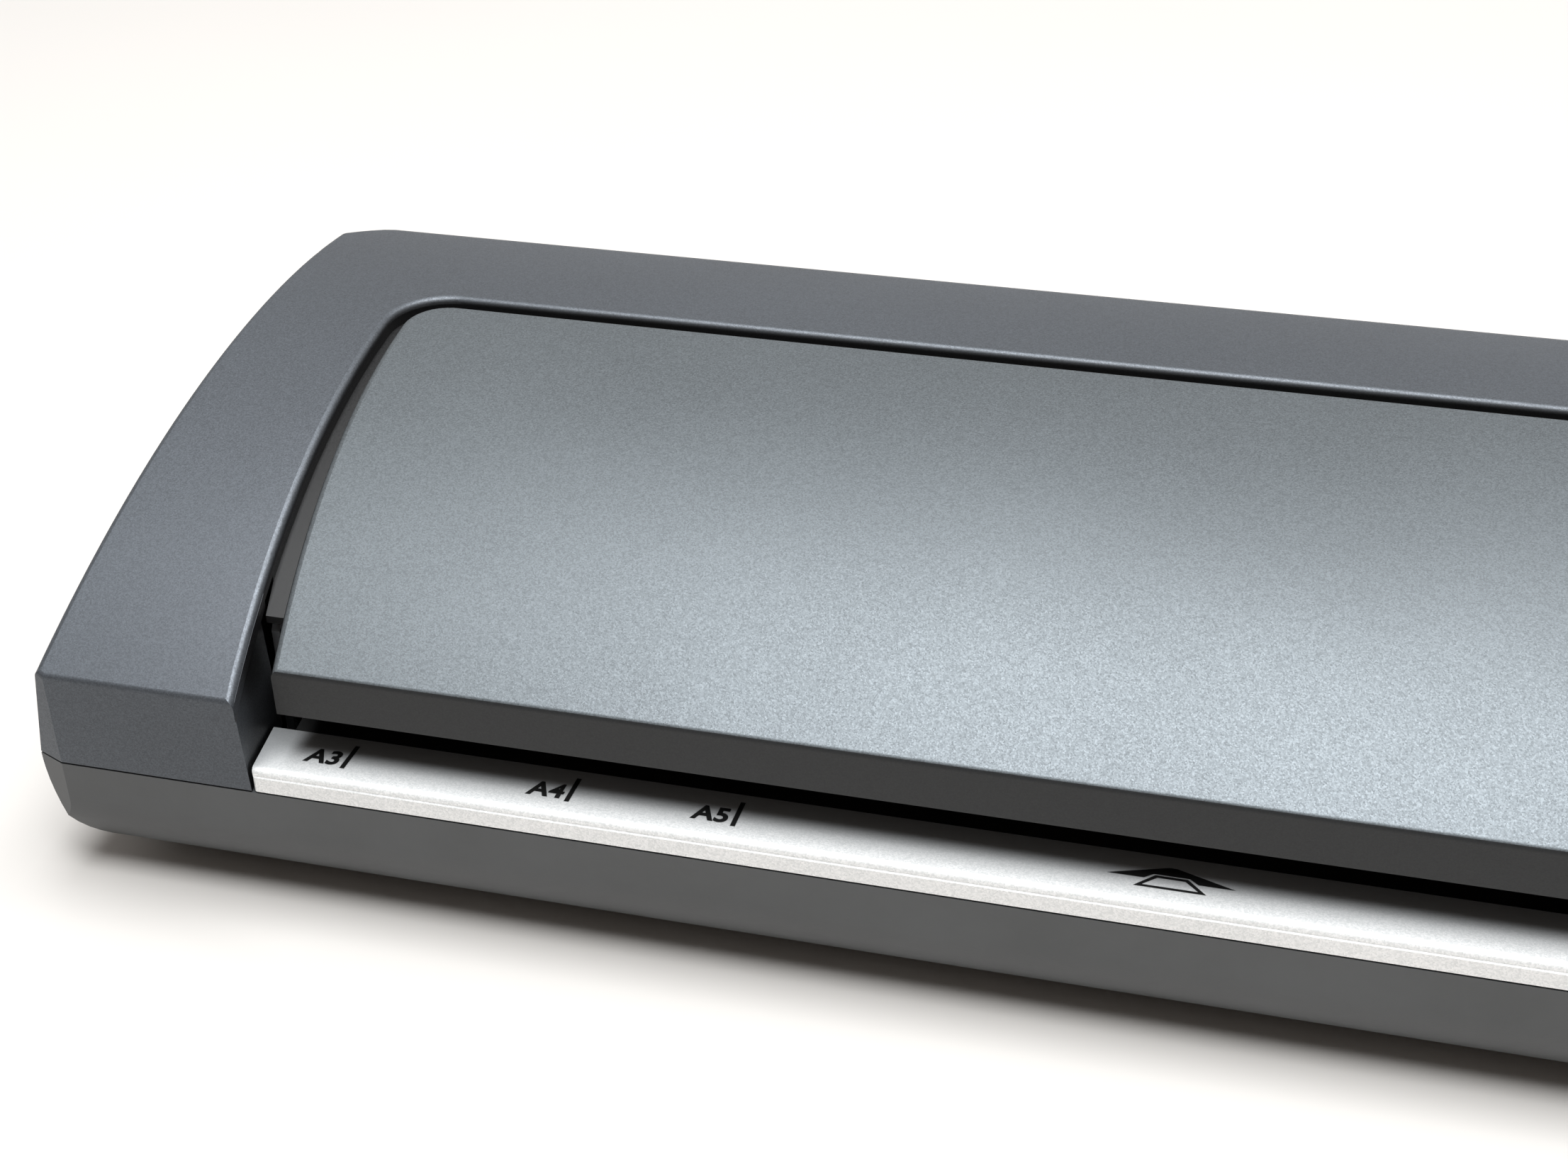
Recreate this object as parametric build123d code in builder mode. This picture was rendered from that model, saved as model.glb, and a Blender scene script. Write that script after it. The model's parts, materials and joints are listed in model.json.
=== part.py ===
from build123d import *
import os
from math import acos, cos, pi, radians, sin, sqrt, tan

# A3 pouch laminator. Millimetres, +X to the right, +Y to the back (the way a pouch travels), +Z up.
# The origin is on the table, under the middle of the casing.

os.makedirs("parts", exist_ok=True)

# ---------------------------------------------------------------- casing, driving dimensions
WIDTH = 459.0
DEPTH = 150.0
BASE_Z = 2.0  # underside of the base, lifted by the feet
SEAM_Z = 25.8  # where the cover meets the base
SEAM_GAP = 0.4
ARCH_RADIUS = 199.5  # the top is one cylinder, its axis along X
ARCH_Y = 30.3
TOP_Z = 75.8
WALL = 2.5
SIDE_DRAFT = 10.5  # degrees that the cover's side walls lean in
CHAMFER_X = 5.6  # vertical chamfers on the front corners
CHAMFER_Y = 2.4
REAR_CORNER = 36.0
REAR_TOP_ROUND = 7.0
EDGE_ROUND = 1.4  # soft edges all round the arched top and the groove
BASE_ROUND = 15.0  # the rolled lower edge of the base at the front
END_ROUND = 23.4  # and at its two ends
BASE_REAR_ROUND = 6.0

FRONT_Y = -DEPTH / 2
REAR_Y = DEPTH / 2
ARCH_Z = TOP_Z - ARCH_RADIUS
FLOOR_Z = BASE_Z + WALL
HIGH = 100.0  # above everything

# ---------------------------------------------------------------- mouth, tray and centre panel
SLOT_X = -17.0  # middle of the pouch path
SLOT_HALF = 167.9  # half the mouth, at the front of the seam
MOUTH_LEAN = 0.045  # the mouth's ends move out by this much per millimetre of height
MOUTH_FLARE = 0.156  # and per millimetre of depth
MOUTH_BACK = -54.0
PANEL_Y = -69.0
LIP_Z = 40.0  # underside of the panel's front
TRAY_CREST_Z = 30.9
TRAY_REAR_Y = -60.3
TRAY_REAR_Z = 29.8
TRAY_LINE_Z = 29.4  # fine step along the tray, under its crest
GROOVE_Y = 30.7  # middle of the groove behind the panel
GROOVE_DEEP = 3.5
LEDGE = 1.4  # thickness of the ledge under the groove
TRAY_LINE = 0.25
TRAY_SKIN = 4.4  # depth of the tray's front wall with its clips
GUIDE_LOWER_HALF = 165.5  # half lengths of the paper guides
GUIDE_UPPER_HALF = 161.0
GUIDE_EXIT_HALF = 163.7
EXIT_SLOT_TOP = 38.0
POST_RADIUS = 4.0  # case-screw posts in the base
COVER_POST_RADIUS = 3.5
SEAT_RADIUS = 3.6  # seats sunk for the heads of the case screws
SEAT_DEEP = 6.0
FOOT_RADIUS = 9.0
FOOT_SEAT = 0.8
VENTS = 23
VENT_LENGTH = 60.0
VENT_WIDTH = 4.0

# ---------------------------------------------------------------- rollers and drive
ROLLER_RADIUS = 9.85
SLEEVE_HALF = 157.0
SHAFT_RADIUS = 4.0
RUNNING = 0.05  # radial clearance of a turning shaft
MODULE = 1.25
PRESSURE = 20.0  # pressure angle of the gears
ROLLER_TEETH = 16
IDLER_TEETH = 24
PINION_TEETH = 14
GEAR_X = 160.0
GEAR_WIDTH = 8.0
SHAFT_OUT = 6.0  # how far the roller shafts pass the left side frame
BUSH_RADIUS = 6.0
BUSH_FLANGE = 7.5
NIP_Z = 32.0
LOWER_Z = NIP_Z - MODULE * ROLLER_TEETH / 2
UPPER_Z = NIP_Z + MODULE * ROLLER_TEETH / 2
FEED_Y = -36.0
IDLER_Y = FEED_Y + MODULE * (ROLLER_TEETH + IDLER_TEETH) / 2
EXIT_Y = IDLER_Y + MODULE * (ROLLER_TEETH + IDLER_TEETH) / 2
PINION_Y = EXIT_Y + MODULE * (ROLLER_TEETH + PINION_TEETH) / 2

FRAME_HALF = 170.0  # inner faces of the side frames, from the middle of the path
SHEET = 1.6
PAD = 1.5  # pads of the base under the side frames
FOOT_LENGTH = 15.0
FOOT_HOLE = 9.0  # from the plate to the screw in its foot
TIE_RADIUS = 3.5
LIFTER_OUT = 169.4
LIFTER_IN = 167.4
BLOCK_SIDE = 13.0  # upper bearing blocks
LIFT = 1.5  # how far the upper rollers rise when released
CAM_Y = IDLER_Y
CAM_Z = 52.0
CAM_RADIUS = 6.0
CAM_TURN = 60.0  # degrees of lever travel for the full lift
CAMSHAFT_RADIUS = 3.0
SPRING_LOW = 51.0
SPRING_HIGH = 55.8
SPRING_X = 164.0
SPRING_RADIUS = 3.0
SPRING_WIRE = 0.45
SPRING_TURNS = 3.5
CAM_HUB = 4.6
SHOE_HALF = 13.0  # heater shoes, along the path
SHOE_LENGTH_HALF = 163.5
ELEMENT_HALF = 150.0

# ---------------------------------------------------------------- controls and electrics
PANEL_X = 190.0  # middle of the controls on the right cheek
CONTROL_Y = -42.0
LEVER_X = 192.0
LEVER_TILT = 30.0
BUTTON_RADIUS = 6.5
BUTTON_TRAVEL = 1.5
SLIDER_TRAVEL = 12.0
SLIDER_STEM = 5.0
LENS_RADIUS = 1.5
INLAY_DEEP = 1.2  # thickness of the control inlay
BOARD_Z = 14.0
BOARD = 1.6  # thickness of the main board
LEAD_RADIUS = 0.8
LEAD_BEND = 1.6
MOTOR_X = 172.8
MOTOR_Y = 39.5
MOTOR_Z = 33.0
MOTOR_RADIUS = 25.0
GLAND_X = 196.0
GLAND_Z = 15.6
GLAND_RADIUS = 7.5
GLAND_LENGTH = 9.0
GLAND_LIP = 2.0
CORD_HOLE = 3.6

CLEAR = 0.3  # between parts that move past each other
SNUG = 0.05
SCREW_RADIUS = 1.5


def arch_height(y, inset=0.0):
    """Height of the arched top at depth y, moved in by inset."""
    return ARCH_Z + sqrt((ARCH_RADIUS - inset) ** 2 - (y - ARCH_Y) ** 2)


def under_arch(inset):
    """Everything under the arch, moved in by inset."""
    return rod(ARCH_RADIUS - inset, -WIDTH, WIDTH, ARCH_Y, ARCH_Z)


def arch_rims(made):
    """Edges round the faces that lie on the arch, but for the ones at the back of the casing."""
    rims = ShapeList()
    for face in made.faces().filter_by(GeomType.CYLINDER):
        if abs(face.radius - ARCH_RADIUS) < 0.01:
            rims.extend(face.edges())
    return rims.filter_by_position(Axis.Y, -DEPTH, GROOVE_Y + 5)


def keep(made, name):
    """Labels a finished piece and writes it."""
    made.part.label = name
    export_step(made.part, f"parts/{name}.step")


def block(x0, x1, y0, y1, z0, z1):
    """A plain box between its low and high limits."""
    with BuildPart() as made:
        with Locations(((x0 + x1) / 2, (y0 + y1) / 2, (z0 + z1) / 2)):
            Box(x1 - x0, y1 - y0, z1 - z0)
    return made.part


def rod(radius, x0, x1, y, z):
    """A round bar along X."""
    with BuildPart() as made:
        with BuildSketch(Plane.YZ.offset(x0)):
            with Locations((y, z)):
                Circle(radius)
        extrude(amount=x1 - x0)
    return made.part


def post(radius, x, y, z0, z1):
    """A round post along Z."""
    with BuildPart() as made:
        with BuildSketch(Plane.XY.offset(z0)):
            with Locations((x, y)):
                Circle(radius)
        extrude(amount=z1 - z0)
    return made.part


def strip(points, x0, x1):
    """A profile given as (y, z) points, run along X."""
    with BuildPart() as made:
        with BuildSketch(Plane.YZ.offset(x0)):
            with BuildLine():
                Polyline(*points, close=True)
            make_face()
        extrude(amount=x1 - x0)
    return made.part


def common(first, second):
    """The space that both solids fill."""
    with BuildPart() as made:
        add(first)
        add(second, mode=Mode.INTERSECT)
    return made.part


def cut(first, *others):
    """The first solid with the others taken out of it."""
    with BuildPart() as made:
        add(first)
        for other in others:
            add(other, mode=Mode.SUBTRACT)
    return made.part


def plan(inset):
    """Sketch of the casing seen from above, moved in by inset."""
    half = WIDTH / 2 - inset
    front = FRONT_Y + inset
    rear = REAR_Y - inset
    with BuildSketch() as made:
        with BuildLine():
            Polyline(
                (-half, rear),
                (-half, front + CHAMFER_Y),
                (-half + CHAMFER_X, front),
                (half - CHAMFER_X, front),
                (half, front + CHAMFER_Y),
                (half, rear),
                close=True,
            )
        make_face()
        fillet(made.vertices().group_by(Axis.Y)[-1], REAR_CORNER - inset)
    return made.sketch


def cover_envelope(inset, low):
    """The solid under the arch, its walls moved in by inset and its underside at low."""
    front = FRONT_Y + inset
    rear = REAR_Y - inset
    half = WIDTH / 2 - inset
    lean = (HIGH - SEAM_Z) * tan(radians(SIDE_DRAFT))
    with BuildPart() as made:
        with BuildSketch(Plane.YZ.offset(-WIDTH / 2)) as side:
            with BuildLine():
                Line((front, low), (front, arch_height(front, inset)))
                ThreePointArc(
                    (front, arch_height(front, inset)),
                    (ARCH_Y, TOP_Z - inset),
                    (rear, arch_height(rear, inset)),
                )
                Line((rear, arch_height(rear, inset)), (rear, low))
                Line((rear, low), (front, low))
            make_face()
            fillet(side.vertices().group_by(Axis.X)[-1].sort_by(Axis.Y)[-1], REAR_TOP_ROUND - inset)
        extrude(amount=WIDTH)
        with BuildSketch(Plane.XZ):
            with BuildLine():
                Polyline(
                    (-half, 0),
                    (-half, SEAM_Z),
                    (-half + lean, HIGH),
                    (half - lean, HIGH),
                    (half, SEAM_Z),
                    (half, 0),
                    close=True,
                )
            make_face()
        extrude(amount=DEPTH, both=True, mode=Mode.INTERSECT)
        with BuildSketch(Plane.XY.offset(low)):
            add(plan(inset))
        extrude(amount=HIGH, mode=Mode.INTERSECT)
    return made.part


def base_envelope(inset, top):
    """The solid of the base, rolled under all round, moved in by inset."""
    low = BASE_Z + inset
    half = WIDTH / 2 - inset
    with BuildPart() as made:
        with BuildSketch(Plane.YZ.offset(-WIDTH / 2)) as side:
            with Locations((0, (low + top) / 2)):
                Rectangle(DEPTH - 2 * inset, top - low)
            fillet(side.vertices().group_by(Axis.Y)[0].sort_by(Axis.X)[0], BASE_ROUND - inset)
            fillet(side.vertices().group_by(Axis.X)[-1].sort_by(Axis.Y)[0], BASE_REAR_ROUND - inset)
        extrude(amount=WIDTH)
        with BuildSketch(Plane.XZ) as across:
            with Locations((0, (low + top) / 2)):
                Rectangle(2 * half, top - low)
            fillet(across.vertices().group_by(Axis.Y)[0], END_ROUND - inset)
        extrude(amount=DEPTH, both=True, mode=Mode.INTERSECT)
        with BuildSketch(Plane.XY.offset(low)):
            add(plan(inset))
        extrude(amount=top - low, mode=Mode.INTERSECT)
    return made.part


def mouth(grow, y0, y1):
    """The space between the cheeks, wider to the back and to the top."""
    half = SLOT_HALF + grow + (y0 - FRONT_Y) * MOUTH_FLARE
    wide = half + (HIGH - SEAM_Z) * MOUTH_LEAN
    with BuildPart() as made:
        for side in (-1, 1):
            with BuildSketch(Plane.XZ.offset(-y0)) as end:
                with BuildLine():
                    Polyline(
                        (SLOT_X - side * 20, 0),
                        (SLOT_X + side * half, 0),
                        (SLOT_X + side * half, SEAM_Z),
                        (SLOT_X + side * wide, HIGH),
                        (SLOT_X - side * 20, HIGH),
                        close=True,
                    )
                make_face()
            extrude(end.sketch, amount=y1 - y0, dir=(side * MOUTH_FLARE, 1, 0))
    return made.part


def panel_outline(front, narrow, wide, rear, corner):
    """Sketch with bowed sides, round the middle of the pouch path."""
    mid = (narrow + 2 * wide) / 3
    with BuildSketch() as made:
        with BuildLine():
            Line((SLOT_X - narrow, front), (SLOT_X + narrow, front))
            ThreePointArc(
                (SLOT_X + narrow, front),
                (SLOT_X + mid, (front + rear) / 2 - 6),
                (SLOT_X + wide, rear),
            )
            Line((SLOT_X + wide, rear), (SLOT_X - wide, rear))
            ThreePointArc(
                (SLOT_X - wide, rear),
                (SLOT_X - mid, (front + rear) / 2 - 6),
                (SLOT_X - narrow, front),
            )
        make_face()
        fillet(made.vertices().group_by(Axis.Y)[-1], corner)
    return made.sketch


def column(sketch, z0, z1):
    """A plan sketch raised into a solid."""
    with BuildPart() as made:
        with BuildSketch(Plane.XY.offset(z0)):
            add(sketch)
        extrude(amount=z1 - z0)
    return made.part


def gear(teeth, phase, bore, x0, width, y, z):
    """Involute spur gear along X, one tooth pointing phase degrees up from +Y."""
    pitch = MODULE * teeth / 2
    base = pitch * cos(radians(PRESSURE))
    root = pitch - 1.25 * MODULE
    tip = pitch + 0.9 * MODULE
    backlash = 0.1
    lean = tan(radians(PRESSURE)) - radians(PRESSURE)
    start = max(base, root)
    flank = []
    for step in range(5):
        radius = start + (tip - start) * step / 4
        pressure = acos(base / radius)
        half = pi / (2 * teeth) - backlash / pitch + lean - tan(pressure) + pressure
        flank.append((radius, half))
    flank.insert(0, (root, flank[0][1]))
    points = []
    for tooth in range(teeth):
        middle = radians(phase) + 2 * pi * tooth / teeth
        for radius, half in flank:
            points.append((radius * cos(middle - half), radius * sin(middle - half)))
        for radius, half in reversed(flank):
            points.append((radius * cos(middle + half), radius * sin(middle + half)))
    with BuildPart() as made:
        with BuildSketch(Plane(origin=(x0, y, z), x_dir=(0, 1, 0), z_dir=(1, 0, 0))):
            with BuildLine():
                Polyline(*points, close=True)
            make_face()
            Circle(bore, mode=Mode.SUBTRACT)
        extrude(amount=width)
    return made.part


def screw(x, y, z, axis, length):
    """Pan-head screw: the head's underside at the point, the head out along axis, the shank behind."""
    with BuildPart() as made:
        with BuildSketch(Plane(origin=(x, y, z), z_dir=axis)):
            Circle(2 * SCREW_RADIUS)
        extrude(amount=1.8)
        fillet(made.faces().sort_by(Axis((x, y, z), axis))[-1].edges(), 0.7)
        with BuildSketch(Plane(origin=(x, y, z), z_dir=axis)):
            Circle(SCREW_RADIUS)
        extrude(amount=-length)
        with BuildSketch(Plane(origin=(x, y, z), z_dir=axis).offset(1.1)):
            Rectangle(3.2, 0.7)
            Rectangle(0.7, 3.2)
        extrude(amount=2, mode=Mode.SUBTRACT)
    return made.part


LEFT = SLOT_X - FRAME_HALF
RIGHT = SLOT_X + FRAME_HALF
OPENING = panel_outline(-90, 167.2, 174.6, GROOVE_Y + 1.7, 12)
PANEL = panel_outline(PANEL_Y, 163.6, 171.2, GROOVE_Y - 1.7, 9)
SLOPE = Vector(0, CONTROL_Y - ARCH_Y, arch_height(CONTROL_Y) - ARCH_Z).normalized()
CONTROLS = Plane(
    origin=(PANEL_X, CONTROL_Y, arch_height(CONTROL_Y)),
    x_dir=(1, 0, 0),
    z_dir=(SLOPE.X, SLOPE.Y, SLOPE.Z),
)
BUTTON_AT = (-13, -9)
SLIDER_AT = (-7, 10)
SLOT_AT = (SLIDER_AT[0] + SLIDER_TRAVEL / 2, SLIDER_AT[1])
SLOT_SIZE = (SLIDER_TRAVEL + SLIDER_STEM + 2 * CLEAR, 3 + 2 * CLEAR)
LENS_AT = ((3, -9), (14, -9))
CASE_POSTS = ((-209.5, 57), (-209.5, -62), (210.5, 56), (212, -63))
BOARD_POSTS = ((177, -58), (204, -58), (177, -2), (204, -2))
TIES = ((-47, 11), (30, 11.5), (29, 53))
STANDOFFS = ((36.5, 45), (24, 58), (22, 8.5))
FLANGES = ((-51, -39), (26, 40))
MOTOR_EARS = ((MOTOR_Y + 22, 19), (MOTOR_Y - 8, 56))
FEET = ((-192, -48), (-192, 52), (192, -48), (192, 52))


def inlay(gap, inset):
    """The control inlay's plan as a block that ends at the arch moved in by inset, smaller by gap."""
    left, right = PANEL_X - 25 + gap, PANEL_X + 21 - gap
    front, rear = CONTROL_Y - 20 + gap, CONTROL_Y + 13.5 - gap
    return cut(block(left, right, front, rear, 30, HIGH), cover_envelope(inset, 0))


def control_holes():
    """The holes for the button, the slider and the two lenses, square to the arch."""
    with BuildPart() as made:
        with BuildSketch(CONTROLS.offset(-6)):
            with Locations(BUTTON_AT):
                Circle(BUTTON_RADIUS + CLEAR)
            with Locations(SLOT_AT):
                Rectangle(*SLOT_SIZE)
            with Locations(*LENS_AT):
                Circle(LENS_RADIUS + SNUG)
        extrude(amount=12)
    return made.part



# ---------------------------------------------------------------- top cover
# groove and recess that take the centre panel, then the mouth below them
RECESS = cut(column(OPENING, 20, HIGH), under_arch(GROOVE_DEEP + SNUG))
MOUTH = common(mouth(0, FRONT_Y - 10, MOUTH_BACK + 1), under_arch(GROOVE_DEEP))
with BuildPart() as top_cover:
    add(cut(cover_envelope(0, SEAM_Z + SEAM_GAP / 2), RECESS, MOUTH))
    fillet(arch_rims(top_cover), EDGE_ROUND)
    add(cover_envelope(WALL, 0), mode=Mode.SUBTRACT)
    # walls at the ends of the mouth
    cheek = common(mouth(WALL, FRONT_Y + 1, MOUTH_BACK), cover_envelope(1, SEAM_Z + SEAM_GAP / 2))
    add(cut(cheek, RECESS, MOUTH))
    # ledge that carries the centre panel
    band = column(panel_outline(MOUTH_BACK - 2, 170, 178, GROOVE_Y + 6, 12), 20, HIGH)
    within = column(panel_outline(-90, 158, 165, GROOVE_Y - 8, 6), 20, HIGH)
    ledge = common(band, cover_envelope(WALL - 0.2, 20))
    add(cut(ledge, under_arch(GROOVE_DEEP + LEDGE), within, RECESS))
    # posts for the case screws
    for x, y in CASE_POSTS:
        add(common(post(COVER_POST_RADIUS, x, y, SEAM_Z + SEAM_GAP / 2, HIGH), cover_envelope(1, 0)))
        add(post(SCREW_RADIUS + SNUG, x, y, 0, SEAM_Z + 14), mode=Mode.SUBTRACT)
    # exit slot in the rear wall
    exit_half = GUIDE_EXIT_HALF + CLEAR
    add(
        block(SLOT_X - exit_half, SLOT_X + exit_half, REAR_Y - 10, REAR_Y + 10, 0, EXIT_SLOT_TOP),
        mode=Mode.SUBTRACT,
    )
    # pocket and holes for the controls
    add(inlay(0, INLAY_DEEP), mode=Mode.SUBTRACT)
    add(control_holes(), mode=Mode.SUBTRACT)
    # slot for the release lever
    reach = (arch_height(CAM_Y) - CAM_Z) * tan(radians(LEVER_TILT)) + 6
    add(
        block(LEVER_X - 3.2, LEVER_X + 3.2, CAM_Y - reach, CAM_Y + reach, SEAM_Z + 20, HIGH),
        mode=Mode.SUBTRACT,
    )
keep(top_cover, "top_cover")

# ---------------------------------------------------------------- centre panel
with BuildPart() as centre_panel:
    add(common(column(PANEL, LIP_Z, HIGH), cover_envelope(0, LIP_Z)))
    fillet(arch_rims(centre_panel), EDGE_ROUND)
    inner = panel_outline(PANEL_Y + WALL, 161.1, 168.7, GROOVE_Y - 4.2, 7)
    add(common(column(inner, 0, HIGH), cover_envelope(WALL - SNUG, 0)), mode=Mode.SUBTRACT)
    # rim that stands on the ledge behind the mouth
    behind = block(-WIDTH, WIDTH, MOUTH_BACK - 2, REAR_Y, 0, HIGH)
    add(common(behind, under_arch(GROOVE_DEEP)), mode=Mode.SUBTRACT)
keep(centre_panel, "centre_panel")

# ---------------------------------------------------------------- base
with BuildPart() as base_shell:
    add(base_envelope(0, SEAM_Z - SEAM_GAP / 2))
    add(base_envelope(WALL, SEAM_Z + 10), mode=Mode.SUBTRACT)
    # tongue behind the seam, left out across the pouch path
    with BuildSketch(Plane.XY.offset(SEAM_Z - 4)):
        add(plan(WALL + 0.4))
        add(plan(WALL + 1.9), mode=Mode.SUBTRACT)
        with Locations((SLOT_X, 0)):
            Rectangle(2 * SLOT_HALF + 8, DEPTH, mode=Mode.SUBTRACT)
    extrude(amount=6)
    with BuildSketch(Plane.XY.offset(SEAM_Z - 4)):
        add(plan(WALL - 0.5))
        add(plan(WALL + 1.9), mode=Mode.SUBTRACT)
        with Locations((SLOT_X, 0)):
            Rectangle(2 * SLOT_HALF + 8, DEPTH, mode=Mode.SUBTRACT)
    extrude(amount=2)
    for x, y in CASE_POSTS:
        standing = post(POST_RADIUS, x, y, FLOOR_Z - 1, SEAM_Z - SEAM_GAP / 2)
        add(common(standing, base_envelope(1, SEAM_Z - SEAM_GAP / 2)))
        add(post(SCREW_RADIUS + SNUG, x, y, 0, SEAM_Z), mode=Mode.SUBTRACT)
        add(post(SEAT_RADIUS, x, y, 0, BASE_Z + SEAT_DEEP), mode=Mode.SUBTRACT)
    for x, y in BOARD_POSTS:
        add(post(3, x, y, FLOOR_Z - 1, BOARD_Z))
        add(post(SCREW_RADIUS + SNUG, x, y, BOARD_Z - 8, BOARD_Z), mode=Mode.SUBTRACT)
    # pads under the flanges of the side frames
    for y0, y1 in FLANGES:
        add(block(LEFT - FOOT_LENGTH, LEFT - 0.1, y0, y1, FLOOR_Z - 1, FLOOR_Z + PAD))
        add(block(RIGHT + 0.1, RIGHT + FOOT_LENGTH, y0, y1, FLOOR_Z - 1, FLOOR_Z + PAD))
        for x in (LEFT - FOOT_HOLE, RIGHT + FOOT_HOLE):
            add(post(SCREW_RADIUS + SNUG, x, (y0 + y1) / 2, BASE_Z + 0.6, 10), mode=Mode.SUBTRACT)
    # vents under the rollers
    with BuildSketch(Plane.XY.offset(BASE_Z - 1)):
        with Locations((SLOT_X, -10)):
            with GridLocations(3 * VENT_WIDTH, 0, VENTS, 1):
                SlotOverall(VENT_LENGTH, VENT_WIDTH, rotation=90)
    extrude(amount=WALL + 2, mode=Mode.SUBTRACT)
    # seats of the feet
    for x, y in FEET:
        add(post(FOOT_RADIUS + 0.5, x, y, 0, BASE_Z + FOOT_SEAT), mode=Mode.SUBTRACT)
    # sunk seat and hole of the cord gland
    with BuildSketch(Plane.XZ.offset(-REAR_Y + 1)):
        with Locations((GLAND_X, GLAND_Z)):
            Circle(GLAND_RADIUS + GLAND_LIP)
    extrude(amount=4)
    with BuildSketch(Plane.XZ.offset(-REAR_Y)):
        with Locations((GLAND_X, GLAND_Z)):
            Circle(GLAND_RADIUS + 0.1)
    extrude(amount=2, mode=Mode.SUBTRACT)
    with BuildSketch(Plane.XZ.offset(-REAR_Y)):
        with Locations((GLAND_X, GLAND_Z)):
            Circle(GLAND_RADIUS - GLAND_LIP + SNUG)
    extrude(amount=8, mode=Mode.SUBTRACT)
    # seats for the tray's clips
    for x in (-120, 0, 120):
        add(block(SLOT_X + x - 6, SLOT_X + x + 6, FRONT_Y + 2, FRONT_Y + 7.4, 13, 17))
keep(base_shell, "base_shell")

# ---------------------------------------------------------------- feed tray
TRAY_HALF = SLOT_HALF - 0.5
with BuildPart() as feed_tray:
    tray_side = [
        (FRONT_Y, SEAM_Z + SEAM_GAP / 2),
        (FRONT_Y, TRAY_LINE_Z - TRAY_LINE),
        (FRONT_Y + TRAY_LINE, TRAY_LINE_Z),
        (FRONT_Y + TRAY_LINE, TRAY_CREST_Z),
        (TRAY_REAR_Y, TRAY_REAR_Z),
        (TRAY_REAR_Y, TRAY_REAR_Z - 5),
        (TRAY_REAR_Y - 1.6, TRAY_REAR_Z - 5),
        (TRAY_REAR_Y - 1.6, TRAY_REAR_Z - 1.9),
        (FRONT_Y + TRAY_SKIN, TRAY_CREST_Z - 2.3),
        (FRONT_Y + TRAY_SKIN, 17.2),
        (FRONT_Y + 2.6, 17.2),
        (FRONT_Y + 2.6, SEAM_Z + SEAM_GAP / 2),
    ]
    wide = TRAY_HALF + (TRAY_REAR_Y - FRONT_Y) * MOUTH_FLARE
    add(strip(tray_side, SLOT_X - wide, SLOT_X + wide))
    along = feed_tray.edges().filter_by(Axis.X)
    fillet(along.filter_by_position(Axis.Z, TRAY_CREST_Z - 0.1, TRAY_CREST_Z), 1.3)
    with BuildSketch() as tray_plan:
        with BuildLine():
            Polyline(
                (SLOT_X - TRAY_HALF, FRONT_Y),
                (SLOT_X + TRAY_HALF, FRONT_Y),
                (SLOT_X + wide, TRAY_REAR_Y),
                (SLOT_X - wide, TRAY_REAR_Y),
                close=True,
            )
        make_face()
        fillet(tray_plan.vertices().group_by(Axis.Y)[0], 0.8)
    extrude(amount=HIGH, mode=Mode.INTERSECT)
keep(feed_tray, "feed_tray")

# ---------------------------------------------------------------- paper guides
with BuildPart() as entry_guide_lower:
    lower_side = [(-60.1, 29.4), (-46.8, 31.3), (-46.8, 29.3), (-58.1, 27.4), (-58.1, 24), (-60.1, 24)]
    add(strip(lower_side, SLOT_X - GUIDE_LOWER_HALF, SLOT_X + GUIDE_LOWER_HALF))
    add(block(LEFT + SNUG, RIGHT - SNUG, -51.5, -46.8, 26, 30))
keep(entry_guide_lower, "entry_guide_lower")

with BuildPart() as entry_guide_upper:
    upper_side = [(-66.4, 40), (-46.8, 33.2), (-46.8, 35.2), (-64.4, 42), (-64.4, 45), (-66.4, 45)]
    add(strip(upper_side, SLOT_X - GUIDE_UPPER_HALF, SLOT_X + GUIDE_UPPER_HALF))
    add(block(LEFT + SNUG, RIGHT - SNUG, -51.5, -46.8, 35, 37))
keep(entry_guide_upper, "entry_guide_upper")

with BuildPart() as exit_guide_lower:
    lower_side = [(25, 31), (74.6, 28.2), (74.6, SEAM_Z), (72.4, SEAM_Z), (72.4, 26.4), (25, 29)]
    add(strip(lower_side, SLOT_X - GUIDE_EXIT_HALF, SLOT_X + GUIDE_EXIT_HALF))
    add(block(LEFT + SNUG, RIGHT - SNUG, 26, 40, 26.4, 28.6))
keep(exit_guide_lower, "exit_guide_lower")

with BuildPart() as exit_guide_upper:
    upper_side = [(25, 33.2), (72.3, 37.6), (72.3, 43), (70.3, 43), (70.3, 39.4), (25, 35.2)]
    add(strip(upper_side, SLOT_X - GUIDE_EXIT_HALF, SLOT_X + GUIDE_EXIT_HALF))
    add(block(LEFT + SNUG, RIGHT - SNUG, 26, 40, 36, 38))
keep(exit_guide_upper, "exit_guide_upper")


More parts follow.
